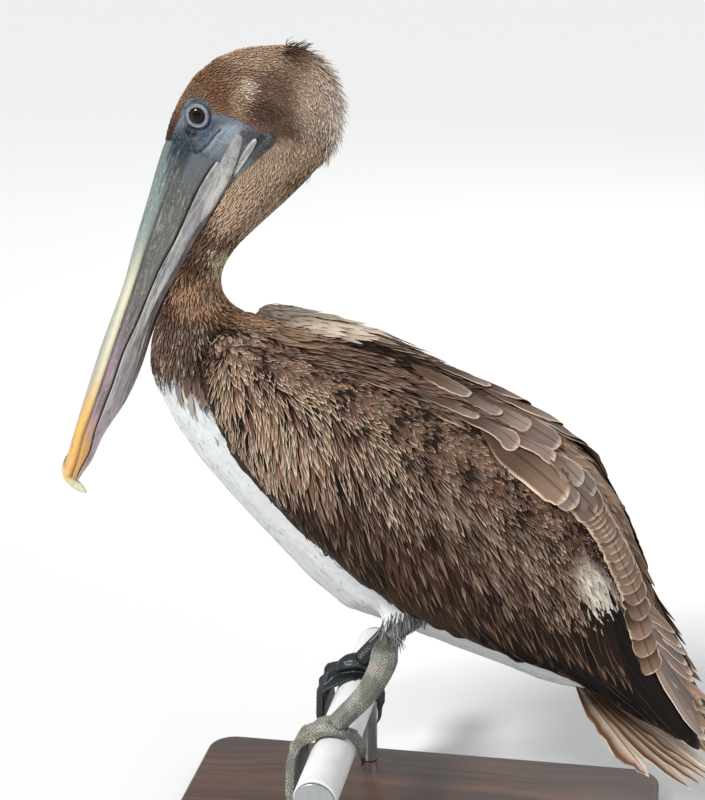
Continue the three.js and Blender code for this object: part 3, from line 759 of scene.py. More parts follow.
def feather_paint(name, edge, tip, shaft, shade, roughness=0.75):
    """A feather's material: how far its fringe reaches in at edge and tip, its shaft's strength, and how dark
    the painted shade at its root is."""
    material, tree, shader = new_material(name, Roughness=roughness, Specular_IOR_Level=0.08)
    pattern = node(tree, "Group", {"node_tree": vane_pattern}, Edge=edge, Tip=tip, Shaft=shaft, Shade=shade,
                   Lay=layer_of(tree, "lay", "Vector"), Ground=layer_of(tree, "ground", "Color"),
                   Fringe=layer_of(tree, "fringe", "Color")).outputs
    finished(tree, shader, pattern["Colour"], pattern["Height"], 0.25, 0.0004)
    return material


velvet = feather_paint("velvet_feather", edge=0.35, tip=0.5, shaft=0.0, shade=0.62)
down = feather_paint("body_feather", edge=0.4, tip=0.3, shaft=0.0, shade=0.06)
covert = feather_paint("covert_feather", edge=0.5, tip=0.32, shaft=0.1, shade=0.5)
quill = feather_paint("great_covert_feather", edge=0.26, tip=0.2, shaft=0.4, shade=0.35, roughness=0.6)
broad = feather_paint("tertial_feather", edge=0.2, tip=0.07, shaft=0.45, shade=0.2, roughness=0.6)
flight = feather_paint("flight_feather", edge=0.16, tip=0.06, shaft=0.6, shade=0.2, roughness=0.55)

is_part = {name: face_parts == index for index, name in enumerate(part_names)}
bare_here = depth_inside(skin_middles[:, 0], skin_middles[:, 2], FACE_EDGE)

# ------------------------------------------------------------------------------------------------------------
# Head feathers: short velvety barbs that lie back from the bill, with painted shade at their roots. They leave
# the face bare, and lengthen into a small dark tuft on the crown and a shaggy pale fringe down the nape.
# ------------------------------------------------------------------------------------------------------------
HAIR_STATIONS = [0, 0.3, 0.6, 0.85, 1]


def tint(colours, seed, spread=0.16, warm=0.05):
    """Colours, each feather's a little lighter, darker, warmer or cooler than the next."""
    draw = np.random.default_rng(seed)
    light = 1 + draw.normal(0, spread, (len(colours), 1))
    warmth = draw.normal(0, warm, (len(colours), 1)) * np.array([1, 0, -1])
    return np.clip(colours * (light + warmth), 0.004, 0.9)


def head_gaps(spots):
    grow = np.interp(np.hypot(spots[:, 0] - EYE_AT[0], spots[:, 2] - EYE_AT[1]), [14, 60], [0.8, 1.08])
    return 1.8 * grow, 1.2 * grow


on_head = is_part["head"] & (bare_here < 0.3)
spots, ways, lies, parts = strew(on_head, BODY_LIE, head_gaps, seed=11)
draw, count = np.random.default_rng(12), len(spots)
near_face = np.interp(-depth_inside(spots[:, 0], spots[:, 2], FACE_EDGE), [0, 14], [0.55, 1])
lengths = draw.normal(4.6, 0.6, count) * near_face
lies = turned_by(lies, ways, draw.normal(0, 15, count))
lines = run_over_skin(spots, lies, lengths, HAIR_STATIONS, most_turn=32)
ground = tint(markings_and_painted_shade(spots + draw.normal(0, 2, spots.shape), parts), 13)
vanes("head_feathers", HAIR, lines, HAIR_STATIONS, draw.normal(0.7, 0.1, count), [0.5, 1, 1, 0.8, 0],
      (0.1, draw.normal(1.15, 0.22, count) * near_face), velvet, "plumage_head",
      ground, np.clip(ground * 1.9 + 0.03, 0, 0.85), thick=0.3, seed=14)

CROWN_TUFT_AT = (-43, 668)  # x and z, mm


def from_tuft(spots):
    return np.hypot(spots[:, 0] - CROWN_TUFT_AT[0], spots[:, 2] - CROWN_TUFT_AT[1])


backward = skin_ways @ np.array((0.92, 0, 0.39))
on_nape = is_part["head"] & (backward > 0.72) & (skin_middles[:, 2] > 590) & (skin_middles[:, 0] > -44)
on_nape |= (is_part["head"] | is_part["neck_upper"]) & (skin_ways[:, 0] > 0.78) & (skin_middles[:, 2] > 545)
on_nape |= is_part["head"] & (from_tuft(skin_middles) < 7)
spots, ways, lies, parts = strew(on_nape, BODY_LIE, (2.4, 1.8), seed=15)
draw, count = np.random.default_rng(16), len(spots)
tuft = 1 - ease(from_tuft(spots), 6, 10)
lengths = draw.uniform(5, 12, count) * np.interp(spots[:, 2], [550, 600], [0.7, 1])
lies = turned_by(lies, ways, draw.normal(0, 26, count))
lines = run_over_skin(spots, lies, lengths, HAIR_STATIONS, most_turn=20)
pale = blend(paint(232, 220, 206), paint(70, 54, 44), tuft[:, None])
vanes("nape_feathers", HAIR, lines, HAIR_STATIONS, draw.normal(0.5, 0.08, count), [0.6, 1, 0.8, 0.5, 0],
      (0.1, draw.uniform(1.0, 8.0, count) * (1 + 0.1 * tuft)), velvet, "plumage_head",
      tint(blend(markings_and_painted_shade(spots, parts), pale, 0.4), 17), tint(pale, 18, spread=0.08), thick=0.25, seed=19)

# ------------------------------------------------------------------------------------------------------------
# Neck feathers: the same velvet, longer and looser down the neck, dark at the shoulder and pale in the bend.
# They end where the breast's white begins, and at the bends of the wings, which lie over the lower neck.
# ------------------------------------------------------------------------------------------------------------
bend = depth_inside(skin_middles[:, 0], skin_middles[:, 2], WING_BEND) > 0
bend &= (np.abs(skin_middles[:, 1]) > 22) & (skin_ways[:, 1] * np.sign(skin_middles[:, 1]) > 0.1)
bend &= ~is_part["wing_left"] & ~is_part["wing_right"]  # where a wing's bend lies over the neck


def neck_gaps(spots):
    grow = np.interp(spots[:, 2], [420, 570], [1.15, 0.85])
    return 2.3 * grow, 1.3 * grow


on_neck = is_part["neck_upper"] | is_part["neck_lower"]
spots, ways, lies, parts = strew(on_neck & ~bend & (bare_here < 0.3), BODY_LIE, neck_gaps, seed=21)
draw, count = np.random.default_rng(22), len(spots)
lengths = draw.normal(1, 0.12, count) * np.interp(spots[:, 2], [420, 570], [9, 5.5])
lies = turned_by(lies, ways, draw.normal(0, 12, count))
lines = run_over_skin(spots, lies, lengths, HAIR_STATIONS, most_turn=40)
ground = tint(markings_and_painted_shade(spots + draw.normal(0, 3.5, spots.shape), parts), 23)
pale_one = (spots[:, 2] < 455) & (draw.random(count) < 0.14)  # a few pale ones at the foot of the neck
ground[pale_one] = blend(ground[pale_one], paint(196, 180, 162), 0.5)
vanes("neck_feathers", HAIR, lines, HAIR_STATIONS, np.interp(spots[:, 2], [420, 570], [1.1, 0.8]),
      [0.5, 1, 1, 0.75, 0], (0.1, np.interp(spots[:, 2], [420, 570], [1.7, 1.2])), velvet, "plumage_head",
      ground, np.clip(ground * np.interp(spots[:, 2], [430, 500], [1.25, 1.75])[:, None] + 0.02, 0, 0.85),
      thick=0.35, seed=24)

# ------------------------------------------------------------------------------------------------------------
# Breast and belly feathers: soft and white, with few marks, running back under the wings to the tail. The
# brown feathers of the back between the wings are firmer.
# ------------------------------------------------------------------------------------------------------------
LONG_STATIONS = [0, 0.2, 0.45, 0.7, 0.88, 1]
over_line = skin_middles[:, 2] - height_of(BELLY_LINE, skin_middles[:, 0])
spots, ways, lies, parts = strew(is_part["trunk"] & (over_line < 12) & ~bend, BODY_LIE, (4.6, 2.6), seed=31)
draw, count = np.random.default_rng(32), len(spots)
lengths = draw.normal(15, 2, count)
lines = run_over_skin(spots, turned_by(lies, ways, draw.normal(0, 9, count)), lengths, LONG_STATIONS)
ground = tint(markings_and_painted_shade(spots + draw.normal(0, 4, spots.shape), parts), 33, spread=0.03, warm=0.01)
vanes("breast_feathers", TUFT, lines, LONG_STATIONS, draw.normal(3.0, 0.25, count), POINTED,
      (0.15, draw.normal(0.5, 0.05, count)), down, "plumage_body", ground, np.clip(ground * 1.1, 0, 0.9),
      thick=0.16, camber=0.0, seed=34)

on_back = is_part["trunk"] & (over_line > -2) & ~bend & (skin_ways[:, 2] > -0.2)
spots, ways, lies, parts = strew(on_back, BODY_LIE, (7.0, 4.0), seed=41)
draw, count = np.random.default_rng(42), len(spots)
lengths = draw.normal(26, 4, count)
lines = run_over_skin(spots, turned_by(lies, ways, draw.normal(0, 7, count)), lengths, LONG_STATIONS)
vanes("back_feathers", TUFT, lines, LONG_STATIONS, draw.normal(3.2, 0.4, count), POINTED,
      (0.3, draw.normal(3.4, 0.5, count)), covert, "plumage_body", tint(markings_and_painted_shade(spots, parts), 43),
      tint(np.tile(paint(154, 128, 108), (count, 1)), 44), seed=45)

# ------------------------------------------------------------------------------------------------------------
# Thigh feathers: greyish white, darkened with painted shade from the wing, fine and loose. They hang down over
# the top of each leg in front of the wing's edge, and the leg comes out between them.
# ------------------------------------------------------------------------------------------------------------
THIGH_LIE = [(45, 230, -88), (70, 250, -80)]  # x, z in mm, and degrees from straight back
on_thigh = is_part["thigh_left"] | is_part["thigh_right"]
spots, ways, lies, parts = strew(on_thigh, THIGH_LIE, (3.0, 1.7), seed=51)
draw, count = np.random.default_rng(52), len(spots)
lengths = draw.normal(14, 2.5, count)
lines = run_over_skin(spots, turned_by(lies, ways, draw.normal(0, 8, count)), lengths, HAIR_STATIONS)
ground = tint(THIGH_GREY_SHADED * draw.choice([0.5, 1, 1.3], (count, 1)), 53)
vanes("thigh_feathers", HAIR, lines, HAIR_STATIONS, draw.normal(0.8, 0.12, count), [0.5, 1, 0.9, 0.5, 0],
      (0.2, draw.normal(1.5, 0.4, count)), velvet, "plumage_body", ground, np.clip(ground * 1.5, 0, 0.85),
      thick=0.35, seed=54)

# ------------------------------------------------------------------------------------------------------------
# Wing coverts: small scaly feathers along each wing's ridge, growing down its side into pointed ones with
# narrow buff tips. Some are dark, some grey and worn, and a pale patch lies over the root of the wing's tip.
# ------------------------------------------------------------------------------------------------------------
WING_RIDGE = [(-200, 310), (-90, 384), (-98, 402), (-102, 420), (-102, 436), (-97, 448), (-88, 456), (-74, 457),
              (-40, 447), (0, 438), (62, 405), (129, 366), (167, 337), (206, 291), (238, 244), (262, 200),
              (285, 140), (292, 118)]  # front edge and top line of the outer face
COVERT_TIPS = [(-100, 384), (-90, 368), (-74, 358), (-50, 338), (-24, 316), (22, 292), (60, 274), (96, 262),
               (133, 247), (170, 234), (207, 222), (240, 215), (280, 140)]  # how far down the wing they reach
COVERT_STATIONS = [0, 0.15, 0.35, 0.55, 0.72, 0.86, 0.94, 1]
RIDGE_OUTLINE = WING_RIDGE + [(330, 90), (330, 0), (-200, 0)]


def below_ridge(spots):
    """How far in on a wing's outer face spots are from its front edge and top line, mm."""
    return depth_inside(spots[:, 0], spots[:, 2], RIDGE_OUTLINE)


def covert_length(spots):
    return np.interp(below_ridge(spots), [0, 12, 30, 85], [6.5, 9, 21, 34])


def lesser_gaps(spots):
    below = below_ridge(spots)
    return np.interp(below, [0, 30], [2.6, 3.4]), np.interp(below, [0, 30], [1.7, 2.0])


def median_gaps(spots):
    return np.interp(below_ridge(spots), [20, 85], [5.0, 7.5]), 1.75


def white_patch(spots):
    """How far spots are in the pale patch over the root of a wing's tip, 0 to 1."""
    along = (spots[:, 0] - 203) * 0.48 - (spots[:, 2] - 264) * 0.875
    across = (spots[:, 0] - 203) * 0.875 + (spots[:, 2] - 264) * 0.48
    return 1 - ease(np.hypot(along / 36, across / 13), 0.5, 1.2)


DARK, GREY, BUFF, WHITE = paint(34, 23, 18), paint(112, 94, 80), paint(250, 218, 190), paint(248, 234, 216)
WING_AXIS = (0.8, 0, -0.6)  # along a folded wing
SIDES = (("left", -1), ("right", 1))
COVERT_ROWS = [  # name, from and to below the ridge, gaps, half width, outline, tips' height, camber
    ("lesser_coverts_", -14, 27, lesser_gaps, 1.35, [0, 0.7, 1, 1, 0.85, 0.5, 0], 1.5, 0.2),
    ("median_coverts_", 12, 999, median_gaps, 1.6, [0, 0.6, 0.95, 1, 0.97, 0.84, 0.62, 0.36, 0], 4.0, 0.15),
]
for side, hand in SIDES:
    below = below_ridge(skin_middles)
    above_tips = skin_middles[:, 2] - height_of(COVERT_TIPS, skin_middles[:, 0])
    faces_out = skin_ways[:, 1] * hand > -0.02
    on_wing = (is_part["wing_" + side] | (bend & (skin_middles[:, 1] * hand > 0))) & faces_out
    on_wing &= above_tips > covert_length(skin_middles) * 0.85
    on_wing &= (skin_middles[:, 0] < 218) & ((skin_middles[:, 0] < 196) | (skin_middles[:, 2] > 252))
    for row, (kind, highest, lowest, gaps, half, outline, tip_lift, camber) in enumerate(COVERT_ROWS):
        chosen = on_wing & (below > highest) & (below < lowest)
        spots, ways, lies, _ = strew(chosen, WING_LIE, gaps, seed=61 + row)
        draw, count = np.random.default_rng(63 + row), len(spots)
        lengths = covert_length(spots) * draw.normal(1, 0.14, count) * (1 + 0.3 * white_patch(spots))
        lies = turned_by(lies, ways, draw.normal(0, (13, 6)[row], count))
        lines = run_over_skin(spots, lies, lengths, COVERT_STATIONS)
        mottle = np.array([noise.noise(Vector(spot) * 0.05) + 0.7 * noise.noise(Vector(spot) * 0.16)
                           for spot in spots])
        kinds = (mottle + draw.normal(0, 0.3, count))[:, None]
        ground = markings_and_painted_shade(spots, ["wing_" + side] * count) * (1 + 0.5 * mottle)[:, None] * (1.15, 1)[row]
        ground = np.where(kinds < -0.3, DARK, np.where(kinds > 0.55, GREY * 0.8, ground))
        if row:  # drawn-out buff tips, brightest towards the front
            depth_share = np.interp(below_ridge(spots), [0, 20, 50, 68, 90], [0.35, 1.0, 0.7, 0.2, 0.04])
            depth_share *= np.interp(spots[:, 0], [-70, -10, 40, 80, 220], [1.5, 1.2, 0.8, 0.28, 0.4])
            bright = depth_share * (1 + 1.1 * mottle + draw.normal(0, 0.3, count))
            bright = np.where(draw.random(count) < 0.12, bright * 1.9 + 0.15, bright)
        else:  # pale dots at some of the tips
            bright = (draw.random(count) < 0.42 + 0.3 * mottle) * draw.uniform(0.35, 0.8, count)
        fringe = blend(ground * 1.3, BUFF, np.clip(bright, 0.03, 1)[:, None])
        if side == "right":
            ground, fringe = (brush(colours, spots, FAR_BEND, where=spots[:, 1] > 20)
                              for colours in (ground, fringe))
        white = np.clip(white_patch(spots) * draw.uniform(0.4, 1.3, count), 0, 1)[:, None]
        settled = 1 - 0.6 * ease(spots[:, 0], 165, 205)  # they lie closer over the root of the wing's tip
        vanes(kind + side, COVERT, lines, COVERT_STATIONS, half * draw.normal(1, 0.1, count), outline,
              (0.4, tip_lift * settled * draw.normal(1, 0.14, count)), covert, "plumage_wing",
              tint(blend(ground, WHITE * 0.66, white), 65 + row, spread=0.12),
              tint(blend(fringe, WHITE, white), 67 + row, spread=0.1), thick=0.22, camber=camber,
              roll=0.08 * hand, unwrap_axis=WING_AXIS, seed=69 + row)

# ------------------------------------------------------------------------------------------------------------
# Wing quills: long stiff feathers in rows, each lying over the one in front. The secondaries run along a
# wing's lower edge, the greater coverts hang over their roots, and the dark primaries come out behind.
# ------------------------------------------------------------------------------------------------------------
QUILL_STATIONS = [0, 0.08, 0.16, 0.24, 0.32, 0.4, 0.48, 0.56, 0.64, 0.72, 0.8, 0.86, 0.91, 0.95, 0.975, 0.99, 1]
GREATER_ROOTS = [(-88, 412), (-62, 388), (-20, 372), (40, 340), (100, 306), (160, 268), (214, 232)]
GREATER_TIPS = [(-78, 368), (-43, 321), (1, 291), (60, 262), (120, 231), (180, 197), (236, 157)]
EDGE_ROOTS = [(206, 296), (216, 280), (224, 262), (232, 244)]
EDGE_TIPS = [(264, 214), (278, 182), (289, 148), (294, 122)]
UPPER_ROOTS = [(-92, 428), (-66, 402), (-22, 388), (40, 356), (100, 322), (160, 290), (214, 250)]
UPPER_TIPS = [(-79, 378), (-46, 331), (2, 300), (62, 271), (124, 239), (184, 208), (234, 176)]
SECONDARY_ROOTS = [(-96, 418), (-82, 380), (-60, 352), (0, 318), (60, 290), (130, 262)]
SECONDARY_TIPS = [(-84, 382), (-52, 338), (-4, 290), (66, 238), (134, 206), (232, 158)]
PRIMARY_ROOTS = [(96, 256), (136, 262), (176, 270), (214, 268)]
PRIMARY_TIPS = [(216, 166), (250, 146), (276, 128), (291, 117)]


def along_line(line, shares):
    """Points at shares of the way through a line's points."""
    line = np.array(line, float)
    at = np.asarray(shares) * (len(line) - 1)
    return np.column_stack([np.interp(at, np.arange(len(line)), line[:, k]) for k in range(line.shape[1])])


def drape(starts, ends, stations, hand, bow=0.0):
    """Lines over a wing's outer face from starts to ends, given in the side view: points, ways and sides.
    Past the skin's edge a line runs straight on."""
    stations = np.asarray(stations)
    shape = (len(starts), len(stations), 3)
    points, ways = np.empty(shape), np.empty(shape)
    for i, (start, end) in enumerate(zip(starts, ends)):
        run = end - start
        square = np.array([run[1], -run[0]]) / np.linalg.norm(run)
        flat = start + stations[:, None] * run + square * (bow * 4 * stations * (1 - stations))[:, None]
        way = Vector((0, hand, 0))
        for k, (x, z) in enumerate(flat):
            outside = Vector((x * MM, hand * 0.2, z * MM))
            found, turned, _, _ = skin_tree.ray_cast(outside, Vector((0, -hand, 0)))
            hit = found is not None and found.y * hand > 0.002 and turned.y * hand > 0.25
            if hit:
                way = (way * 0.5 + turned).normalized()
                points[i, k] = (x, found.y / MM, z)
            elif k > 1:
                step = points[i, k - 1] - points[i, k - 2]
                most = 0.3 * np.hypot(x - points[i, k - 1, 0], z - points[i, k - 1, 2])
                points[i, k] = (x, points[i, k - 1, 1] + np.clip(step[1], -most, most), z)
            else:
                points[i, k] = (x, hand * 60, z)
            ways[i, k] = way
    heads = np.gradient(points, axis=1)
    heads /= np.linalg.norm(heads, axis=-1, keepdims=True)
    sides = np.cross(heads, ways)
    return points, ways, sides / np.linalg.norm(sides, axis=-1, keepdims=True)


SLIM = [0, 0.5, 0.8, 0.95, 1, 0.95, 0.8, 0.56, 0.26, 0]
QUILL_AXIS = (0.75, 0, -0.66)
QUILL_ROWS = [  # name, roots, tips, count, half width, outline, height at root and tip, bow, colours, look
    ("secondaries", SECONDARY_ROOTS, SECONDARY_TIPS, 32, 8.0, BROAD, 0.3, 1.4, 4, (52, 39, 32), (120, 98, 80),
     flight),
    ("primaries", PRIMARY_ROOTS, PRIMARY_TIPS, 16, 7.5, BROAD, 0.6, 2.4, 5, (20, 16, 14), (66, 52, 43), flight),
    ("edge_quills", EDGE_ROOTS, EDGE_TIPS, 12, 6.5, BROAD, 1.6, 3.0, 4, (138, 117, 104), (234, 218, 200),
     broad),
    ("under_coverts", GREATER_ROOTS, GREATER_TIPS, 58, 4.8, SLIM, 0.8, 2.1, 2, (34, 24, 18), (90, 70, 56),
     quill),
    ("greater_coverts", UPPER_ROOTS, UPPER_TIPS, 84, 3.4, SLIM, 1.2, 2.7, 3, (36, 24, 18), (158, 126, 102),
     quill),
]
for side, hand in SIDES:
    for row, quill_row in enumerate(QUILL_ROWS):
        kind, roots, tips, count, half, outline, low, high, bow, shade, pale, look = quill_row
        draw = np.random.default_rng(71 + row)
        shares = (np.arange(count) + draw.normal(0, 0.2, count)) / (count - 1)
        starts = along_line(roots, np.clip(shares, 0, 1))
        ragged_end = draw.normal(0, 0.8 if "coverts" not in kind else 3.2, (count, 2))
        ends = along_line(tips, np.clip(shares + draw.normal(0, 0.006, count), 0, 1)) + ragged_end
        lines = drape(starts, ends, QUILL_STATIONS, hand, bow)
        ground = tint(np.tile(paint(*shade), (count, 1)), 75 + row, spread=0.14)
        fringe = tint(np.tile(paint(*pale), (count, 1)), 79 + row, spread=0.16)
        if "coverts" in kind:
            middles = lines[0][:, len(QUILL_STATIONS) // 2]
            white = white_patch(middles)[:, None] * draw.uniform(0.3, 1, (count, 1))
            ground, fringe = blend(ground, WHITE * 0.8, white), blend(fringe, WHITE, white)
        vanes(kind + "_" + side, QUILL, lines, QUILL_STATIONS, half * draw.normal(1, 0.06, count), outline,
              (low, draw.normal(high, 0.25, count)), look, "plumage_wing", ground, fringe, thick=0.35,
              camber=0.14, roll=-0.1 * hand, ragged=0.14, unwrap_axis=QUILL_AXIS, seed=84 + row)

# ------------------------------------------------------------------------------------------------------------
# Scapulars and tertials: the feathers of the back that close over both wings, long and narrow with buff edges
# in front, then broad and rounded, with a stack of short blunt ones over the root of each wing's tip.
# ------------------------------------------------------------------------------------------------------------
def scapular_gaps(spots):
    return np.interp(spots[:, 0], [-60, 0], [4.0, 8.0]), np.interp(spots[:, 0], [-60, 0], [2.2, 4.0])


for side, hand in SIDES:
    where = is_part["wing_" + side] & (skin_ways[:, 1] * hand < 0.16)
    where &= (skin_ways[:, 2] > -0.3) & (skin_middles[:, 0] > -98)
    spots, ways, lies, _ = strew(where, BODY_LIE, scapular_gaps, seed=91)
    draw, count = np.random.default_rng(92), len(spots)
    small = np.interp(spots[:, 0], [-80, 0], [0.42, 1])  # in front, towards the bend
    lengths = draw.normal(34, 5, count) * small
    lines = run_over_skin(spots, turned_by(lies, ways, draw.normal(0, 7, count)), lengths, LONG_STATIONS)
    rear = ease(spots[:, :1], 30, 150)
    ground = tint(blend(paint(56, 41, 33), paint(122, 100, 86), rear), 93, spread=0.2)
    fringe = tint(np.tile(paint(206, 174, 144), (count, 1)), 94) * draw.uniform(0.5, 1, (count, 1))
    if side == "right":  # painted shade where the far wing stands off the back, and its leading edge pale
        gap = 1 - ease(np.hypot((spots[:, 0] - 14) / 72, (spots[:, 1] - 31) / 12), 0.8, 1.2)[:, None]
        ground, fringe = (brush(colours * (1 - depth * gap), spots, FAR_BEND, where=spots[:, 1] > 38)
                          for colours, depth in ((ground, 0.75), (fringe, 0.85)))
    vanes("scapulars_" + side, TUFT, lines, LONG_STATIONS, draw.normal(3.3, 0.4, count) * small, POINTED,
          (0.4, draw.normal(3.8, 0.5, count) * small * (1 - 0.5 * rear[:, 0])), covert, "plumage_wing",
          ground, fringe, unwrap_axis=WING_AXIS, seed=95)

TERTIALS = [  # root's x and y for a left wing, length, half width in mm, turn in degrees
    (44, -34, 56, 8, 6), (54, -44, 58, 8, 0), (64, -28, 62, 9, 6), (76, -46, 70, 11, -4), (80, -28, 70, 10, 5),
    (90, -40, 84, 12, -2), (96, -28, 80, 12, 6), (104, -52, 92, 15, -8), (116, -36, 84, 12.5, -3),
    (128, -48, 76, 13, -9), (138, -34, 72, 13, -4), (150, -42, 68, 14, -10), (158, -38, 64, 14, -8),
    *((x, -41 + 0.12 * (x - 166), 52 - 0.2 * (x - 166), 14.8 - 0.045 * (x - 166), -11 + 0.15 * (x - 166))
      for x in np.linspace(166, 236, 18)),
]
table = np.array(TERTIALS, float)[::-1]
for side, hand in SIDES:
    roots = []
    for x, y in table[:, :2] * (1, -hand):
        found = None
        while found is None or found.z < 0.2:  # the root moves in until it meets the back
            found = skin_tree.ray_cast(Vector((x * MM, y * MM, 0.8)), Vector((0, 0, -1)))[0]
            y *= 0.85
        roots.append(np.array(found) / MM)
    roots = np.array(roots)
    ways = np.array([skin_tree.find_nearest(Vector(root * MM))[1] for root in roots])
    lies = turned_by(lie_at(roots, ways, BODY_LIE), ways, table[:, 4] * -hand)
    lines = run_over_skin(roots, lies, table[:, 2], QUILL_STATIONS, most_turn=70)
    order = np.linspace(0, 1, len(roots))
    tipward = ease(np.array(QUILL_STATIONS)[QUILL["ring"]], 0.45, 0.98)[None, :, None]
    rear = ease(roots[:, :1], 120, 175)
    shade = tint(blend(paint(84, 64, 52), paint(58, 42, 33), rear), 102)[:, None]
    pale = tint(blend(paint(138, 120, 108), paint(132, 108, 92), rear), 105)[:, None]
    vanes("tertials_" + side, QUILL, lines, QUILL_STATIONS, table[:, 3], rounded(0.45, 0.8, 2.3),
          (1.8 + order * 1.5, 3.6 + order * 3.0), broad, "plumage_wing",
          blend(shade, pale, tipward).reshape(-1, 3),
          tint(np.tile(paint(224, 200, 174), (len(roots), 1)), 103, spread=0.1), thick=0.4, camber=0.16,
          roll=0.08 * hand, ragged=0.14, unwrap_axis=QUILL_AXIS, seed=104)

# ------------------------------------------------------------------------------------------------------------
# Tail: worn quills in a fan, brown on their outer vanes and pale tan on their inner ones, split near their
# ends. The outermost is the broadest to be seen, and the middle ones lie on top.
# ------------------------------------------------------------------------------------------------------------
TAIL_ROOT, TAIL_DIP, TAIL_LENGTH, TAIL_FAN = (181, 0, 175), math.radians(36), 150, math.radians(27)
across = np.array([-1, -0.74, -0.52, -0.34, -0.18, -0.05, 0.08, 0.22, 0.4, 0.62, 1])  # places in the fan
quill_count = len(across)
reach_share = np.array([0.9, 0.97, 1, 0.99, 1, 0.98, 1, 0.99, 1, 1.02, 0.96])
stations = np.array(QUILL_STATIONS)
draw = np.random.default_rng(111)
reach = 10 + stations[None] * (TAIL_LENGTH * (1 - 0.26 * across**2) * reach_share - 10)[:, None]
fan = (across * TAIL_FAN * 0.9)[:, None]
flat = np.stack([reach * np.cos(fan), -7 * across[:, None] - reach * np.sin(fan) * 0.92,
                 -15 * across[:, None] ** 2 * stations[None] * 0.9], -1)
dip = np.array([[math.cos(TAIL_DIP), 0, math.sin(TAIL_DIP)], [0, 1, 0],
                [-math.sin(TAIL_DIP), 0, math.cos(TAIL_DIP)]])
points = flat @ dip.T + TAIL_ROOT
ways = np.broadcast_to(dip @ (0, 0, 1), points.shape).copy()
ways[..., 1] += -0.45 * across[:, None] * stations[None]
ways /= np.linalg.norm(ways, axis=-1, keepdims=True)
heads = np.gradient(points, axis=1)
sides = np.cross(heads / np.linalg.norm(heads, axis=-1, keepdims=True), ways)
inner_vane = np.sign(-across + 1e-6)[:, None] * QUILL["across"][None]
ground = blend(paint(104, 72, 52), paint(232, 212, 190), ease(inner_vane, -0.35, 0.1)[..., None])
ground = np.clip(ground * draw.normal(1, 0.07, (quill_count, 1, 1)), 0, 0.9)
tail_feathers = vanes(
    "tail_feathers", QUILL, (points, ways, sides), QUILL_STATIONS, 14 + 7 * np.abs(across) ** 3,
    [0, 0.35, 0.6, 0.8, 0.92, 1, 1, 0.92, 0.7, 0.35, 0],
    (1.5 - 3.5 * np.abs(across), 1.5 - 2.2 * np.abs(across)), flight, "plumage_tail", ground.reshape(-1, 3),
    np.tile(paint(234, 222, 204), (quill_count, 1)), thick=0.6, camber=0.06, ragged=0.35,
    unwrap_axis=WING_AXIS, seed=112)
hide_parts("tail")

# ------------------------------------------------------------------------------------------------------------
# Eyes and eyelids: dark glass eyeballs set in the skin, each held by a pale ring of folded lid. The ring
# leans back with the side of the head, and a slit opens it over the iris.
# ------------------------------------------------------------------------------------------------------------
eye_glass, tree, shader = new_material("eye_glass", Roughness=0.05, Specular_IOR_Level=0.22)
eye_middle = (EYE_AT[0] * MM, 0, EYE_AT[1] * MM)
centred = node(tree, "VectorMath", {"operation": "SUBTRACT"}, i0=place_on(tree), i1=eye_middle).outputs[0]
sideways = node(tree, "VectorMath", {"operation": "MULTIPLY"}, i0=centred, i1=(1, 0, 1)).outputs[0]
from_axis = node(tree, "VectorMath", {"operation": "LENGTH"}, i0=sideways).outputs["Value"]
iris = mixed(tree, speckle(tree, place_on(tree), 900, 3), (24, 15, 11), (50, 33, 24))
tone = graded(tree, from_axis, 0.0032, 0.0036, (3, 2, 2), iris)
tone = graded(tree, from_axis, 0.0052, 0.0062, tone, (12, 12, 15))
tree.links.new(tone, shader.inputs["Base Color"])

lid_skin, tree, shader = new_material("lid_skin", Roughness=0.5, Specular_IOR_Level=0.4)
fold = layer_of(tree, "fold")
crumple = speckle(tree, place_on(tree), 420, 4, 0.6)
tone = graded(tree, fold, 0.22, 0.5, (60, 64, 72), (138, 142, 152))
tone = graded(tree, fold, 0.02, 0.14, (22, 22, 28), tone)
tone = graded(tree, fold, 0.74, 1.0, tone, (70, 78, 90))
crumpled = graded(tree, crumple, 0.3, 0.65, (0.55, 0.58, 0.62, 1), (1, 1, 1, 1))
finished(tree, shader, mixed(tree, 1.0, tone, crumpled, "MULTIPLY"), crumple, 0.5, 0.0004)

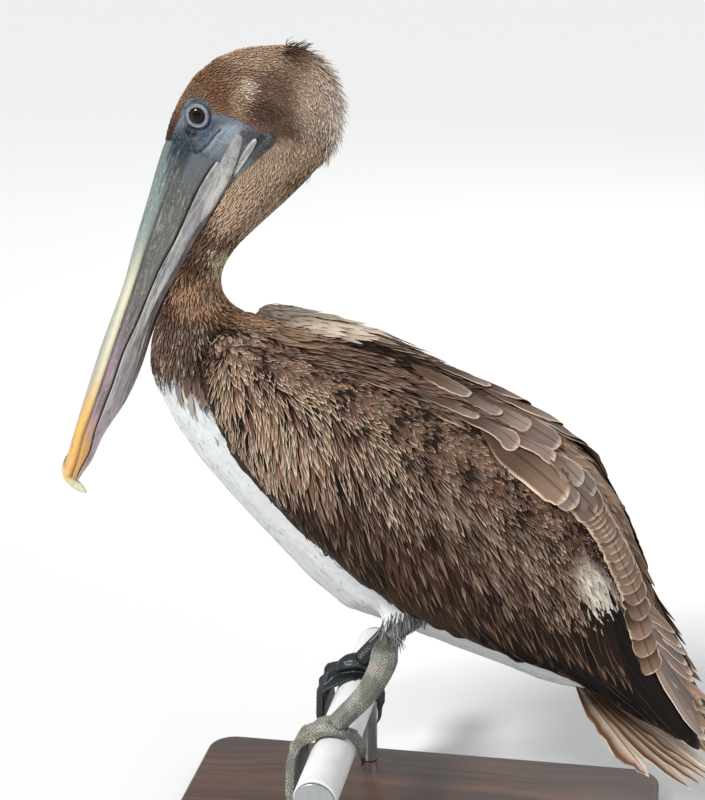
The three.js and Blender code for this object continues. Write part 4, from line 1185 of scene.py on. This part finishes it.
LID_SECTION = [  # distance from the eye's axis, and how far out from the eyeball's middle, mm
    (5.6, 5.8), (6.0, 7.3), (6.3, 7.9), (6.7, 8.25), (7.1, 8.3), (7.5, 8.0), (7.8, 7.75), (8.2, 8.1),
    (8.7, 8.25), (9.2, 7.9), (9.7, 7.2), (10.2, 6.2), (10.4, 4.4), (9.8, 2.0),
]
LID_LEAN = 0.25  # how much farther out the ring stands for each mm back
for side, hand in SIDES:
    ball = bmesh.new()
    bmesh.ops.create_uvsphere(ball, u_segments=48, v_segments=32, radius=EYE_RADIUS * MM)
    bmesh.ops.rotate(ball, verts=ball.verts, matrix=Matrix.Rotation(math.pi / 2, 3, "X"))
    bmesh.ops.translate(ball, verts=ball.verts, vec=(EYE_AT[0] * MM, hand * EYE_ACROSS * MM, EYE_AT[1] * MM))
    fix(stand_up("eyeball_" + side, ball), eye_glass, "eye", "eye_" + side)

    ring = bmesh.new()
    fold = ring.verts.layers.float.new("fold")
    section = []
    for k, (away, out) in enumerate(LID_SECTION):
        vertex = ring.verts.new((away, 0, out))
        vertex[fold] = k / (len(LID_SECTION) - 3)
        section.append(vertex)
    joints = [ring.edges.new(pair) for pair in zip(section, section[1:])]
    joints.append(ring.edges.new((section[-1], section[0])))
    bmesh.ops.spin(ring, geom=section + joints, cent=(0, 0, 0), axis=(0, 0, 1), dvec=(0, 0, 0), angle=math.tau,
                   steps=72, use_merge=True, use_duplicate=False)
    bmesh.ops.remove_doubles(ring, verts=ring.verts, dist=1e-4)
    for vertex in ring.verts:
        across, up, out = vertex.co
        turn = math.atan2(up, across)
        crumple = noise.noise((math.cos(turn) * 5, math.sin(turn) * 5, vertex[fold] * 4)) * 0.45
        slit = 1 - 0.05 * math.sin(turn) ** 2
        out += crumple * (0.2 < vertex[fold] < 1) + LID_LEAN * across
        vertex.co = Vector((EYE_AT[0] + across, hand * (EYE_ACROSS + out), EYE_AT[1] + up * slit)) * MM
    bmesh.ops.recalc_face_normals(ring, faces=ring.faces)
    fix(stand_up("eyelid_" + side, ring), lid_skin, "plumage_head")

# ------------------------------------------------------------------------------------------------------------
# Bill: two long mandibles of horn. A raised ridge runs down the upper one between two grooves to the hooked
# nail, and the lower one is a pair of thin flat bars with the folded pouch between them.
# ------------------------------------------------------------------------------------------------------------
BILL_RIBS = [  # ridge x z, lower edge x z, half width, mm, from the face to the tip
    (-106, 629, -58, 603, 12), (-125, 614, -71, 589, 15.5), (-141, 596, -86.5, 571.5, 18),
    (-158, 547, -116.5, 528.5, 16.5), (-170, 511, -135.5, 495.5, 14.8), (-179.5, 480, -151.5, 467.5, 13),
    (-191, 451, -162, 438.5, 12.5), (-202, 423, -171.5, 409.5, 13), (-213, 392, -185, 379, 13.5),
    (-224, 360, -203.5, 350.5, 12.8), (-232, 336, -214, 328.5, 9.5), (-236, 325, -221, 318.5, 7.5),
    (-238.2, 316.5, -226, 311, 5.2),
]
BILL_FULLNESS = 2.35
GAPE_LINE = [  # where the mandibles meet, x z
    (-54, 641), (-86, 599), (-110, 567), (-132.5, 522), (-146.5, 497), (-157.5, 474), (-167, 452), (-179, 427),
    (-189, 400), (-198.5, 376.5), (-206.5, 357), (-212.5, 339), (-222, 322), (-231, 303),
]
RIDGE_SHARE = [0.24, 0.25, 0.26, 0.27, 0.28, 0.29, 0.3, 0.31, 0.33, 0.38, 0.44, 0.5, 0.5]  # of the bill's depth


def through(rows, shares):
    """A smooth run through rows of numbers, at shares of the way from the first row to the last."""
    rows = np.asarray(rows, float).reshape(len(rows), -1)
    padded = np.vstack([2 * rows[0] - rows[1], rows, 2 * rows[-1] - rows[-2]])
    at = np.clip(shares, 0, 1) * (len(rows) - 1)
    first = np.minimum(at.astype(int), len(rows) - 2)
    f = (at - first)[:, None]
    a, b, c, d = (padded[first + k] for k in range(4))
    return 0.5 * (2 * b + (c - a) * f + (2 * a - 5 * b + 4 * c - d) * f**2 + (3 * b - a - 3 * c + d) * f**3)


def bent_sheet(name, columns, rows, place):
    """A piece from a flat sheet. place() takes shares across and along it and returns points in mm, and layers
    of numbers to keep at the points. Edges and ends that meet are joined."""
    form = bmesh.new()
    bmesh.ops.create_grid(form, x_segments=columns, y_segments=rows, size=0.5)
    flat = np.array([vertex.co[:2] for vertex in form.verts]) + 0.5
    points, layers = place(flat[:, 0], flat[:, 1])
    stores = {layer: form.verts.layers.float.new(layer) for layer in layers}
    for i, vertex in enumerate(form.verts):
        vertex.co = points[i] * MM
        for layer, store in stores.items():
            vertex[store] = layers[layer][i]
    bmesh.ops.remove_doubles(form, verts=form.verts, dist=3e-6)
    bmesh.ops.recalc_face_normals(form, faces=form.faces)
    return stand_up(name, form)


def shut_at(along):
    """The share of the height from lower edge to ridge at which the mandibles meet."""
    middle = through(BILL_RIBS, along)
    top, low = middle[:, :2], middle[:, 2:4]
    line = through(GAPE_LINE, np.linspace(0, 1, 600))
    rise = top - low
    length = np.linalg.norm(rise, axis=1, keepdims=True)
    unit = rise / length
    gap = line[None] - low[:, None]
    off = np.abs(gap[..., 0] * unit[:, None, 1] - gap[..., 1] * unit[:, None, 0])
    nearest = off.argmin(1)
    return np.clip((gap[np.arange(len(along)), nearest] * unit).sum(-1) / length[:, 0], 0.04, 0.96)


def mandible(upper):
    """Places a sheet as the upper or the lower mandible."""
    def place(across, along):
        run = np.clip(along * 1.04 - 0.02, 0, 1)
        rib = through(BILL_RIBS, run)
        top, low, half = rib[:, :2], rib[:, 2:4], rib[:, 4]
        seam = shut_at(run)
        turn = np.abs(across * 2 - 1)  # 0 on the outside's middle, 1 on the inside's middle
        hand = np.sign(across - 0.5)
        outer = np.minimum(turn / 0.82, 1)
        inner = np.clip((turn - 0.82) / 0.18, 0, 1)
        above = 2 * seam - 1
        seam_turn = np.arccos(np.clip(np.sign(above) * np.abs(above) ** (BILL_FULLNESS / 2), -1, 1))
        angle = outer * seam_turn if upper else np.pi - outer * (np.pi - seam_turn)
        power = 2 / BILL_FULLNESS
        height = 0.5 + 0.5 * np.sign(np.cos(angle)) * np.abs(np.cos(angle)) ** power
        surface = height
        width = half * np.abs(np.sin(angle)) ** power * (1 - inner)
        length = np.linalg.norm(top - low, axis=1)
        shut = (0.35 if upper else -0.45) / length
        height = height + np.where(turn > 0.75, shut, 0) + (0.07 if upper else -0.05) * inner
        off_ridge = (1 - through(RIDGE_SHARE, run)[:, 0] - surface) * length
        relief = np.zeros(len(run))
        if upper:
            relief += 0.9 * (1 - ease(off_ridge, -1.4, 0.4)) - 1.0 * np.exp(-(((off_ridge - 1.5) / 1.1) ** 2))
            relief += 0.5 * ease(outer, 0.86, 0.97)
        else:
            relief += 0.5 * ease(outer, 0.8, 0.95) - 0.5 * np.exp(-(((outer - 0.62) / 0.1) ** 2))
        relief *= (inner == 0) * ease(run, 0.0, 0.1)
        centre = low + (top - low) * ((1 + seam) / 2 if upper else seam / 2)[:, None]
        flat = low + (top - low) * height[:, None] - centre
        reach = np.hypot(np.linalg.norm(flat, axis=1), width)
        grow = 1 + relief / np.maximum(reach, 3)
        end = np.where((along < 0.02) | (along > 0.98), 0.0, 1.0)
        flat = centre + flat * (grow * end)[:, None]
        points = np.column_stack([flat[:, 0], hand * width * grow * end, flat[:, 1]])
        return points, {"run": run, "off_ridge": off_ridge if upper else outer * 10, "reach": outer}
    return place


def horn_paint(name, recipe, roughness=0.42):
    """Horn: a colour recipe over the piece's own layers, with streaks and specks along its grain."""
    material, tree, shader = new_material(name, Roughness=roughness, Specular_IOR_Level=0.4)

    def noise_along(stretch, scale, detail):
        grain = mapped(tree, "TEXTURE", Rotation=(0, math.radians(21), 0), Scale=(1, 1, stretch))
        return speckle(tree, grain, scale, detail, 0.62)

    streak, speck, patch = noise_along(11, 560, 5), noise_along(3.5, 900, 4), noise_along(6, 90, 3)
    layers = {layer: layer_of(tree, layer) for layer in ("run", "off_ridge", "reach")}
    finished(tree, shader, recipe(tree, layers, streak, speck, patch), maths(tree, "ADD", streak, speck), 0.5,
             0.0005, maths(tree, "MULTIPLY_ADD", speck, 0.3, roughness - 0.12))
    return material


def upper_recipe(tree, layers, streak, speck, patch):
    run, off = layers["run"], layers["off_ridge"]
    plate = graded(tree, run, 0.3, 0.5, (94, 98, 90), (112, 102, 104))
    plate = graded(tree, run, 0.46, 0.66, plate, (150, 124, 132))
    plate = flecked(tree, plate, patch, 0.44, 0.64, 0.6, (66, 64, 60))
    plate = graded(tree, run, 0.68, 0.8, plate, (206, 152, 84))
    plate = flecked(tree, plate, streak, 0.52, 0.68, 0.45, (176, 172, 160))
    plate = flecked(tree, plate, speck, 0.56, 0.68, 0.45, (196, 194, 182))
    ridge = graded(tree, run, 0.2, 0.45, (112, 128, 124), (156, 158, 148))
    ridge = graded(tree, run, 0.6, 0.78, ridge, (198, 156, 92))
    pale = times(tree, fade(tree, off, -8.0, -2.0), fade(tree, run, 0.26, 0.44))
    edge = graded(tree, run, 0.56, 0.72, (222, 216, 182), (232, 178, 88))
    ridge = mixed(tree, times(tree, pale, 0.85), ridge, edge)
    ridge = flecked(tree, ridge, speck, 0.54, 0.68, 0.5, (206, 208, 198))
    off_edge = maths(tree, "MULTIPLY_ADD", pale, -0.6, 0.75)
    ridge = flecked(tree, ridge, streak, 0.52, 0.66, off_edge, (78, 84, 82))
    tone = graded(tree, off, -0.4, 0.6, ridge, plate)
    groove = times(tree, 0.5, rest_of(tree, fade(tree, off, 1.6, 2.6)))
    tone = flecked(tree, tone, off, 0.5, 1.2, groove, (48, 44, 38))
    tone = flecked(tree, tone, layers["reach"], 0.94, 0.99, 0.85, (46, 38, 36))
    face = graded(tree, off, -11.0, -6.0, (92, 100, 100), (26, 38, 50))
    face = flecked(tree, face, off, 6.0, 11.0, 0.9, (92, 98, 102))
    face = flecked(tree, face, speck, 0.54, 0.68, 0.3, (140, 150, 154))
    uneven = maths(tree, "MULTIPLY_ADD", maths(tree, "SUBTRACT", patch, 0.5), 0.3, run)
    return graded(tree, uneven, 0.17, 0.26, face, tone)


def lower_recipe(tree, layers, streak, speck, patch):
    run = layers["run"]
    tone = graded(tree, patch, 0.42, 0.62, (182, 180, 174), (146, 144, 146))
    tone = graded(tree, run, 0.5, 0.75, tone, (186, 172, 176))
    tone = graded(tree, run, 0.84, 0.95, tone, (200, 186, 168))
    tone = flecked(tree, tone, speck, 0.52, 0.66, 0.35, (218, 214, 208))
    tone = flecked(tree, tone, streak, 0.5, 0.66, 0.7, (98, 92, 92))
    return flecked(tree, tone, rest_of(tree, layers["reach"]), 0.88, 0.98, 0.7, (66, 58, 56))


upper_bill = bent_sheet("upper_bill", 64, 150, mandible(True))
fix(upper_bill, horn_paint("upper_horn", upper_recipe), "bill_horn", "bill_upper")
lower_horn = horn_paint("lower_horn", lower_recipe)
lower_bill = bent_sheet("lower_bill", 56, 150, mandible(False))
fix(lower_bill, lower_horn, "bill_horn", "bill_lower")

# ------------------------------------------------------------------------------------------------------------
# Jaw bars: the pale horny strips that run from the corner of the mouth down onto each side of the lower bill,
# a long broad one and a short one behind it. Each is a tube pressed onto the face and the lower bill.
# ------------------------------------------------------------------------------------------------------------
JAW_BARS = [  # x, z and half width from the corner of the mouth down, and how high each stands, mm
    ([(-77, 604.5, 1.5), (-79.5, 600.5, 3.8), (-87.6, 584.5, 5.6), (-98.3, 564, 6.0), (-109, 546.5, 5.8),
      (-122, 529.5, 5.2), (-139, 497.5, 4.2), (-154, 471, 3.5), (-163.5, 450, 2.6), (-171, 432, 1.2)], 2.2),
    ([(-65, 602, 0.8), (-67.5, 599, 2.2), (-74.5, 588.5, 2.6), (-83, 576, 1.6), (-88, 569, 0.6)], 1.7),
]
BAR_STEPS, BAR_AROUND = 64, 20
bill_tree = BVHTree.FromObject(lower_bill, bpy.context.evaluated_depsgraph_get())


def side_surface(x, z, hand):
    """How far out the face or the lower mandible stands at a place in the side view, mm."""
    start, toward = Vector((x * MM, hand * 0.2, z * MM)), Vector((0, -hand, 0))
    hits = [tree.ray_cast(start, toward)[0] for tree in (skin_tree, bill_tree)]
    return max([abs(hit.y) / MM for hit in hits if hit is not None and hit.y * hand > 0] + [8])


for side, hand in SIDES:
    bar_form = bmesh.new()
    stores = {layer: bar_form.verts.layers.float.new(layer) for layer in ("run", "off_ridge", "reach")}
    for line, high_up in JAW_BARS:
        share = np.linspace(0, 1, BAR_STEPS)
        places = through(line, share)
        heads = np.gradient(places[:, :2], axis=0)
        squares = np.column_stack([-heads[:, 1], heads[:, 0]]) / np.linalg.norm(heads, axis=1)[:, None]
        turns = np.linspace(0, math.tau, BAR_AROUND, endpoint=False)
        across = np.cos(turns)[None] * places[:, 2:3]
        at_x = places[:, 0:1] + squares[:, 0:1] * across
        at_z = places[:, 1:2] + squares[:, 1:2] * across
        base = np.array([[side_surface(px, pz, hand) for px, pz in zip(*row)] for row in zip(at_x, at_z)])
        base = np.maximum(base, base.max(1, keepdims=True) - 2.5)
        for _ in range(4):
            base[1:-1] = (base[:-2] + base[1:-1] * 2 + base[2:]) / 4
        dome = np.sign(np.sin(turns)) * np.abs(np.sin(turns)) ** 0.7
        lift = np.where(dome > 0, dome * high_up, dome * 1.6) * np.minimum(1, places[:, 2:3] / 3)
        lift *= 1 - 0.85 * ease(share[:, None], 0.5, 1.0)
        rows = []
        for k in range(BAR_STEPS):
            rows.append([])
            for j in range(BAR_AROUND):
                spot = Vector((at_x[k, j], hand * (base[k, j] + lift[k, j]), at_z[k, j]))
                vertex = bar_form.verts.new(spot * MM)
                vertex[stores["run"]] = 0.1
                vertex[stores["reach"]] = 0.5 - 0.42 * abs(across[k, j]) / places[k, 2]
                rows[-1].append(vertex)
        for first, second in zip(rows, rows[1:]):
            for j in range(BAR_AROUND):
                bar_form.faces.new((first[j], first[j - 1], second[j - 1], second[j]))
        for ring in (rows[0], rows[-1]):
            bar_form.faces.new(ring)
    bmesh.ops.recalc_face_normals(bar_form, faces=bar_form.faces)
    fix(stand_up("jaw_bars_" + side, bar_form), lower_horn, "bill_horn")

# ------------------------------------------------------------------------------------------------------------
# Nail and pouch: a hook of harder pale horn over the bill's tip, and the bare skin of the throat, folded up
# lengthwise between the bars of the lower bill. Both are closed forms drawn through ribs.
# ------------------------------------------------------------------------------------------------------------
NAIL_RIBS = [  # outer x z, inner x z, half width
    (-232, 337, -226, 334, 4), (-238.5, 325.5, -228, 322.5, 6.2), (-239.4, 315, -228.8, 316, 5.8),
    (-234.5, 306.5, -226.8, 311, 4.5), (-227, 301.2, -222.8, 306.2, 3), (-219.5, 299.4, -219, 301, 0.9),
]
POUCH_RIBS = [  # upper x z, lower x z, half width
    (-74, 591.6, -69.2, 587.4, 11), (-89.8, 573.8, -83.2, 569.2, 12), (-119.8, 530.7, -112, 525.7, 10),
    (-139, 497.5, -131, 492.9, 9), (-155, 469.2, -148, 465.7, 8), (-165.8, 439.8, -159.6, 437.7, 7.5),
    (-175.2, 411, -169.8, 408.9, 7), (-186, 386, -181.5, 384, 5),
    (-195, 366, -193.5, 365.2, 1.5),
]


def ribbed(ribs, folds=0.0):
    """Places a sheet as a closed form through ribs, with folds of some depth along it."""
    def place(across, along):
        rib = through(ribs, along)
        angle = across * math.tau
        middle, rise = (rib[:, :2] + rib[:, 2:4]) / 2, (rib[:, :2] - rib[:, 2:4]) / 2
        end = np.where((along < 1e-3) | (along > 1 - 1e-3), 0, 1)
        fold = 1 + folds * np.sin(angle * 9 + along * 7) * np.sin(along * math.pi)
        flat = middle + rise * (np.cos(angle) * fold * end)[:, None]
        points = np.column_stack([flat[:, 0], rib[:, 4] * np.sin(angle) * fold * end, flat[:, 1]])
        return points, {"run": along, "off_ridge": np.abs(np.sin(angle)), "reach": (1 + np.cos(angle)) / 2}
    return place


def nail_recipe(tree, layers, streak, speck, patch):
    tone = graded(tree, layers["run"], 0.3, 0.8, (214, 184, 124), (232, 224, 196))
    tone = flecked(tree, tone, streak, 0.5, 0.7, 0.5, (150, 122, 82))
    return graded(tree, layers["run"], 0.05, 0.3, (58, 48, 42), tone)


def pouch_recipe(tree, layers, streak, speck, patch):
    return graded(tree, streak, 0.4, 0.65, (124, 112, 108), (160, 148, 144))


bill_nail = bent_sheet("hooked_nail", 32, 48, ribbed(NAIL_RIBS))
fix(bill_nail, horn_paint("nail_horn", nail_recipe, roughness=0.3), "nail_horn", "bill_nail")
pouch = bent_sheet("throat_pouch", 64, 80, ribbed(POUCH_RIBS, folds=0.05))
fix(pouch, horn_paint("pouch_skin", pouch_recipe, roughness=0.6), "pouch_skin", "pouch")

# ------------------------------------------------------------------------------------------------------------
# Legs and feet: bare scaled skin, with broad plates across the front of each shank and small round scales over
# the rest, down to the webs. Horn claws close on the rail.
# ------------------------------------------------------------------------------------------------------------
PLATE_HEIGHT = 2.3  # mm from one broad plate to the next
LEG_TOP = (40, 59)  # x, and y to each side, in mm
SHANK_AXIS = ((40, 0, 200), (3, 0, 142))  # down a shank, x, y, z in mm
SCALE_SIZE = 1.8  # mm


def plated(name, node_name, grain, size, rise, seed, axis=None):
    """A smooth copy of a solid with scales of a size in mm raised over it, as fine as its grain. Along an axis
    there are broad plates across the front, and the top runs on up into the thigh."""
    form = bmesh.new()
    form.from_mesh(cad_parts[node_name].data)
    bmesh.ops.remove_doubles(form, verts=form.verts, dist=1e-5)
    piece = stand_up(name, form)
    casting = piece.modifiers.new("casting", "REMESH")
    casting.mode = "VOXEL"
    casting.voxel_size = grain * MM
    smoothing = piece.modifiers.new("smoothing", "SMOOTH")
    smoothing.factor, smoothing.iterations = 0.5, 5
    mesh = bpy.data.meshes.new_from_object(piece.evaluated_get(bpy.context.evaluated_depsgraph_get()))
    piece.modifiers.clear()
    piece.data = mesh
    mesh.shade_smooth()
    spots, ways = spots_of(mesh), directions_of(mesh)
    draw = np.random.default_rng(seed)
    order = draw.permutation(len(spots))

    def crowds(i, near):
        return np.linalg.norm(spots[near] - spots[i], axis=1).min() < size

    seeds = thinned(spots, size, crowds, order)
    tree = KDTree(len(seeds))
    for n, i in enumerate(seeds):
        tree.insert(spots[i], n)
    tree.balance()
    between = np.empty(len(spots))
    for i, spot in enumerate(spots):
        (_, _, first), (_, _, second) = tree.find_n(spot, 2)
        between[i] = (second - first) / size
    scale = ease(between, 0.0, 0.55)
    reach_up = np.zeros((1, 3))
    if axis is not None:
        start, end = np.array(axis, float)
        run = (end - start) / np.linalg.norm(end - start)
        uneven = np.array([noise.noise(Vector(spot) * 0.3) for spot in spots]) * 0.5
        down = (spots - start) @ run / PLATE_HEIGHT + uneven
        plate = ease(np.minimum(down % 1, -down % 1) * 2, 0.0, 0.4)
        hand = np.sign(spots[:, 1].mean())
        front = ease(ways @ np.array((-0.66, 0.62 * hand, 0.42)), 0.55, 0.8) * ease(spots[:, 2], 140, 150)
        scale = scale * (1 - 0.75 * front) + plate * 0.75 * front
        inward = -9 if hand > 0 else 2
        narrower = 0.3 * (spots - (LEG_TOP[0], LEG_TOP[1] * hand, 0)) * (1, 1, 0)
        reach_up = ease(spots[:, 2:3], 206, 224) * (np.array((15, inward, 12)) - narrower)
    move_spots(mesh, spots + ways * ((scale - 0.6) * rise * size)[:, None] + reach_up)
    layer = mesh.attributes.new("scale", "FLOAT", "POINT")
    layer.data.foreach_set("value", scale)
    return piece


def scale_skin(name, ground, crack, light, warm, upper):
    """Scaled skin: dark in the cracks, lighter in some patches and warmer in others, and darker over the
    heel."""
    material, tree, shader = new_material(name, Roughness=0.42, Specular_IOR_Level=0.5)
    place = place_on(tree)
    patch, fine = speckle(tree, place, 60, 4), speckle(tree, place, 900, 3)
    height = node(tree, "SeparateXYZ", i0=place).outputs[2]
    tone = graded(tree, patch, 0.38, 0.62, ground, light)
    low_down = rest_of(tree, fade(tree, height, 0.125, 0.14))
    tone = flecked(tree, tone, patch, 0.5, 0.66, maths(tree, "MULTIPLY_ADD", low_down, 0.8, 0.2), warm)
    tone = graded(tree, height, 0.204, 0.212, tone, upper)
    tone = mixed(tree, layer_of(tree, "scale"), crack, tone)
    grit = graded(tree, fine, 0.3, 0.7, (0.6, 0.6, 0.6, 1), (1.2, 1.2, 1.2, 1))
    finished(tree, shader, mixed(tree, 0.5, tone, grit, "MULTIPLY"), fine, 0.35, 0.0003)
    return material


near_leg_skin = scale_skin("olive_leg_skin", (116, 118, 107), (58, 58, 52), (158, 159, 148), (184, 148, 114),
                           (76, 76, 60))
# The far leg and foot get a darker copy of the near leg's skin: painted shade.
far_leg_skin = scale_skin("painted_shade_leg_skin", (20, 26, 30), (9, 10, 12), (30, 37, 42), (34, 37, 40), (48, 49, 40))
claw_horn, tree, shader = new_material("claw_horn", Roughness=0.32)
claw_tone = mixed(tree, speckle(tree, place_on(tree), 700, 4), (20, 18, 17), (70, 62, 54))
tree.links.new(claw_tone, shader.inputs["Base Color"])
for side, leg_skin in (("left", near_leg_skin), ("right", far_leg_skin)):
    for kind, grain, rise, axis in (("leg", 0.6, 0.18, SHANK_AXIS), ("foot", 0.75, 0.17, None)):
        piece = plated(f"scaled_{kind}_{side}", f"{kind}_{side}", grain, SCALE_SIZE, rise, 121, axis)
        fix(piece, leg_skin, "leg_skin", f"{kind}_{side}")
    foot_tree = BVHTree.FromObject(piece, bpy.context.evaluated_depsgraph_get())
    for toe in ("outer", "middle", "inner", "hind"):
        form = bmesh.new()
        form.from_mesh(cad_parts[f"claw_{side}_{toe}"].data)
        bmesh.ops.remove_doubles(form, verts=form.verts, dist=1e-5)
        near = [(vertex, *foot_tree.find_nearest(vertex.co)) for vertex in form.verts]
        gap = min(found[4] for found in near)
        middle = sum((vertex.co for vertex in form.verts), Vector()) / len(form.verts)
        inward = (min(near, key=lambda found: found[4])[1] - middle).normalized()
        for vertex, _, _, _, distance in near:  # its root runs on into the toe
            vertex.co += inward * (gap + 3 * MM) * float(1 - ease((distance - gap) / MM, 2, 6))
        claw = stand_up(f"horn_claw_{side}_{toe}", form)
        rounding = claw.modifiers.new("rounding", "SUBSURF")
        rounding.levels = rounding.render_levels = 2
        fix(claw, claw_horn, "claw_horn", f"claw_{side}_{toe}")

# ------------------------------------------------------------------------------------------------------------
# Perch and rods: a cut length of white painted handrail tube, closed by a steel cap at each end, on two short
# steel rods. The enamel is thick, a little grimy, and has run in places.
# ------------------------------------------------------------------------------------------------------------
white_enamel, tree, shader = new_material("white_enamel", Roughness=0.28, Coat_Weight=0.3, Coat_Roughness=0.1)
grime = speckle(tree, place_on(tree), 45, 6, 0.7)
drips = speckle(tree, mapped(tree, Scale=(1, 1, 0.3)), 160, 4)
tone = graded(tree, grime, 0.5, 0.8, (236, 237, 236), (222, 221, 216))
tone = flecked(tree, tone, drips, 0.66, 0.78, 0.15, (186, 182, 172))
finished(tree, shader, tone, drips, 0.12, 0.0005, maths(tree, "MULTIPLY_ADD", grime, 0.3, 0.15))
brushed_steel, tree, shader = new_material("brushed_steel", Metallic=1.0, Roughness=0.34)
scratches = speckle(tree, mapped(tree, Scale=(1, 1, 0.04)), 900, 3)
tone = mixed(tree, scratches, (0.38, 0.39, 0.4, 1), (0.56, 0.57, 0.58, 1))
tree.links.new(tone, shader.inputs["Base Color"])
tree.links.new(maths(tree, "MULTIPLY_ADD", scratches, 0.25, 0.22), shader.inputs["Roughness"])


def turned_bar(name, node_name, edge, look, slot):
    """A round bar or tube that fills a solid's box, its ends' edges rounded."""
    low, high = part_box(node_name)
    size, middle = high - low, (low + high) / 2
    lengthways = 1 if abs(size.x - size.z) < abs(size.x - size.y) else 2
    radius = min(size) / 2 if lengthways == 2 else size.x / 2
    form = bmesh.new()
    bmesh.ops.create_cone(form, cap_ends=True, segments=96, radius1=radius, radius2=radius,
                          depth=size[lengthways])
    rims = [e for e in form.edges if all(abs(abs(v.co.z) - size[lengthways] / 2) < 1e-6 for v in e.verts)]
    bmesh.ops.bevel(form, geom=rims, offset=edge * MM, offset_type="OFFSET", segments=4, profile=0.5,
                    affect="EDGES", material=-1)
    if lengthways == 1:
        bmesh.ops.rotate(form, verts=form.verts, matrix=Matrix.Rotation(math.pi / 2, 3, "X"))
    bmesh.ops.translate(form, verts=form.verts, vec=middle)
    fix(stand_up(name, form), look, slot, node_name)


turned_bar("perch_tube", "perch_rail", 0.6, white_enamel, "white_paint")
for name, node_name, edge in (("near_cap", "perch_cap_near", 1.4), ("far_cap", "perch_cap_far", 1.4),
                              ("near_rod", "stand_rod_near", 0.3), ("far_rod", "stand_rod_far", 0.3)):
    turned_bar(name, node_name, edge, brushed_steel, "steel")

# ------------------------------------------------------------------------------------------------------------
# Stand's base: a stained and lacquered board with rounded corners and a small chamfer round its top. It lies
# flat on the floor, and the two rods are let into it.
# ------------------------------------------------------------------------------------------------------------
dark_wood, tree, shader = new_material("stained_wood", Roughness=0.35, Coat_Weight=0.4, Coat_Roughness=0.15)
place = place_on(tree)
sway = node(tree, "CombineXYZ", i1=times(tree, speckle(tree, place, 3.5, 2), 0.09)).outputs[0]
bent = node(tree, "VectorMath", {"operation": "ADD"}, i0=place, i1=sway).outputs[0]
rings = speckle(tree, mapped(tree, place=bent, Scale=(0.25, 6, 6)), 14, 6, 0.6)
pores = speckle(tree, mapped(tree, Scale=(0.4, 9, 9)), 120, 3)
tone = graded(tree, rings, 0.3, 0.7, (46, 29, 21), (94, 62, 42))
tone = flecked(tree, tone, pores, 0.55, 0.72, 0.5, (28, 18, 13))
finished(tree, shader, tone, pores, 0.15, 0.0004, maths(tree, "MULTIPLY_ADD", pores, 0.2, 0.25))

low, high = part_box("stand_base")
board_form = bmesh.new()
bmesh.ops.create_cube(board_form, size=1)
bmesh.ops.scale(board_form, verts=board_form.verts, vec=high - low)
bmesh.ops.translate(board_form, verts=board_form.verts, vec=(low + high) / 2)
uprights = [edge for edge in board_form.edges if abs(edge.verts[0].co.z - edge.verts[1].co.z) > 0.01]
bmesh.ops.bevel(board_form, geom=uprights, offset=24 * MM, offset_type="OFFSET", segments=12, profile=0.5,
                affect="EDGES", material=-1)
top_rim = [edge for edge in board_form.edges if all(vertex.co.z > high.z - 1e-5 for vertex in edge.verts)]
bmesh.ops.bevel(board_form, geom=top_rim, offset=3 * MM, offset_type="OFFSET", segments=3, profile=0.5,
                affect="EDGES", material=-1)
fix(stand_up("stand_board", board_form), dark_wood, "stand_wood", "stand_base")
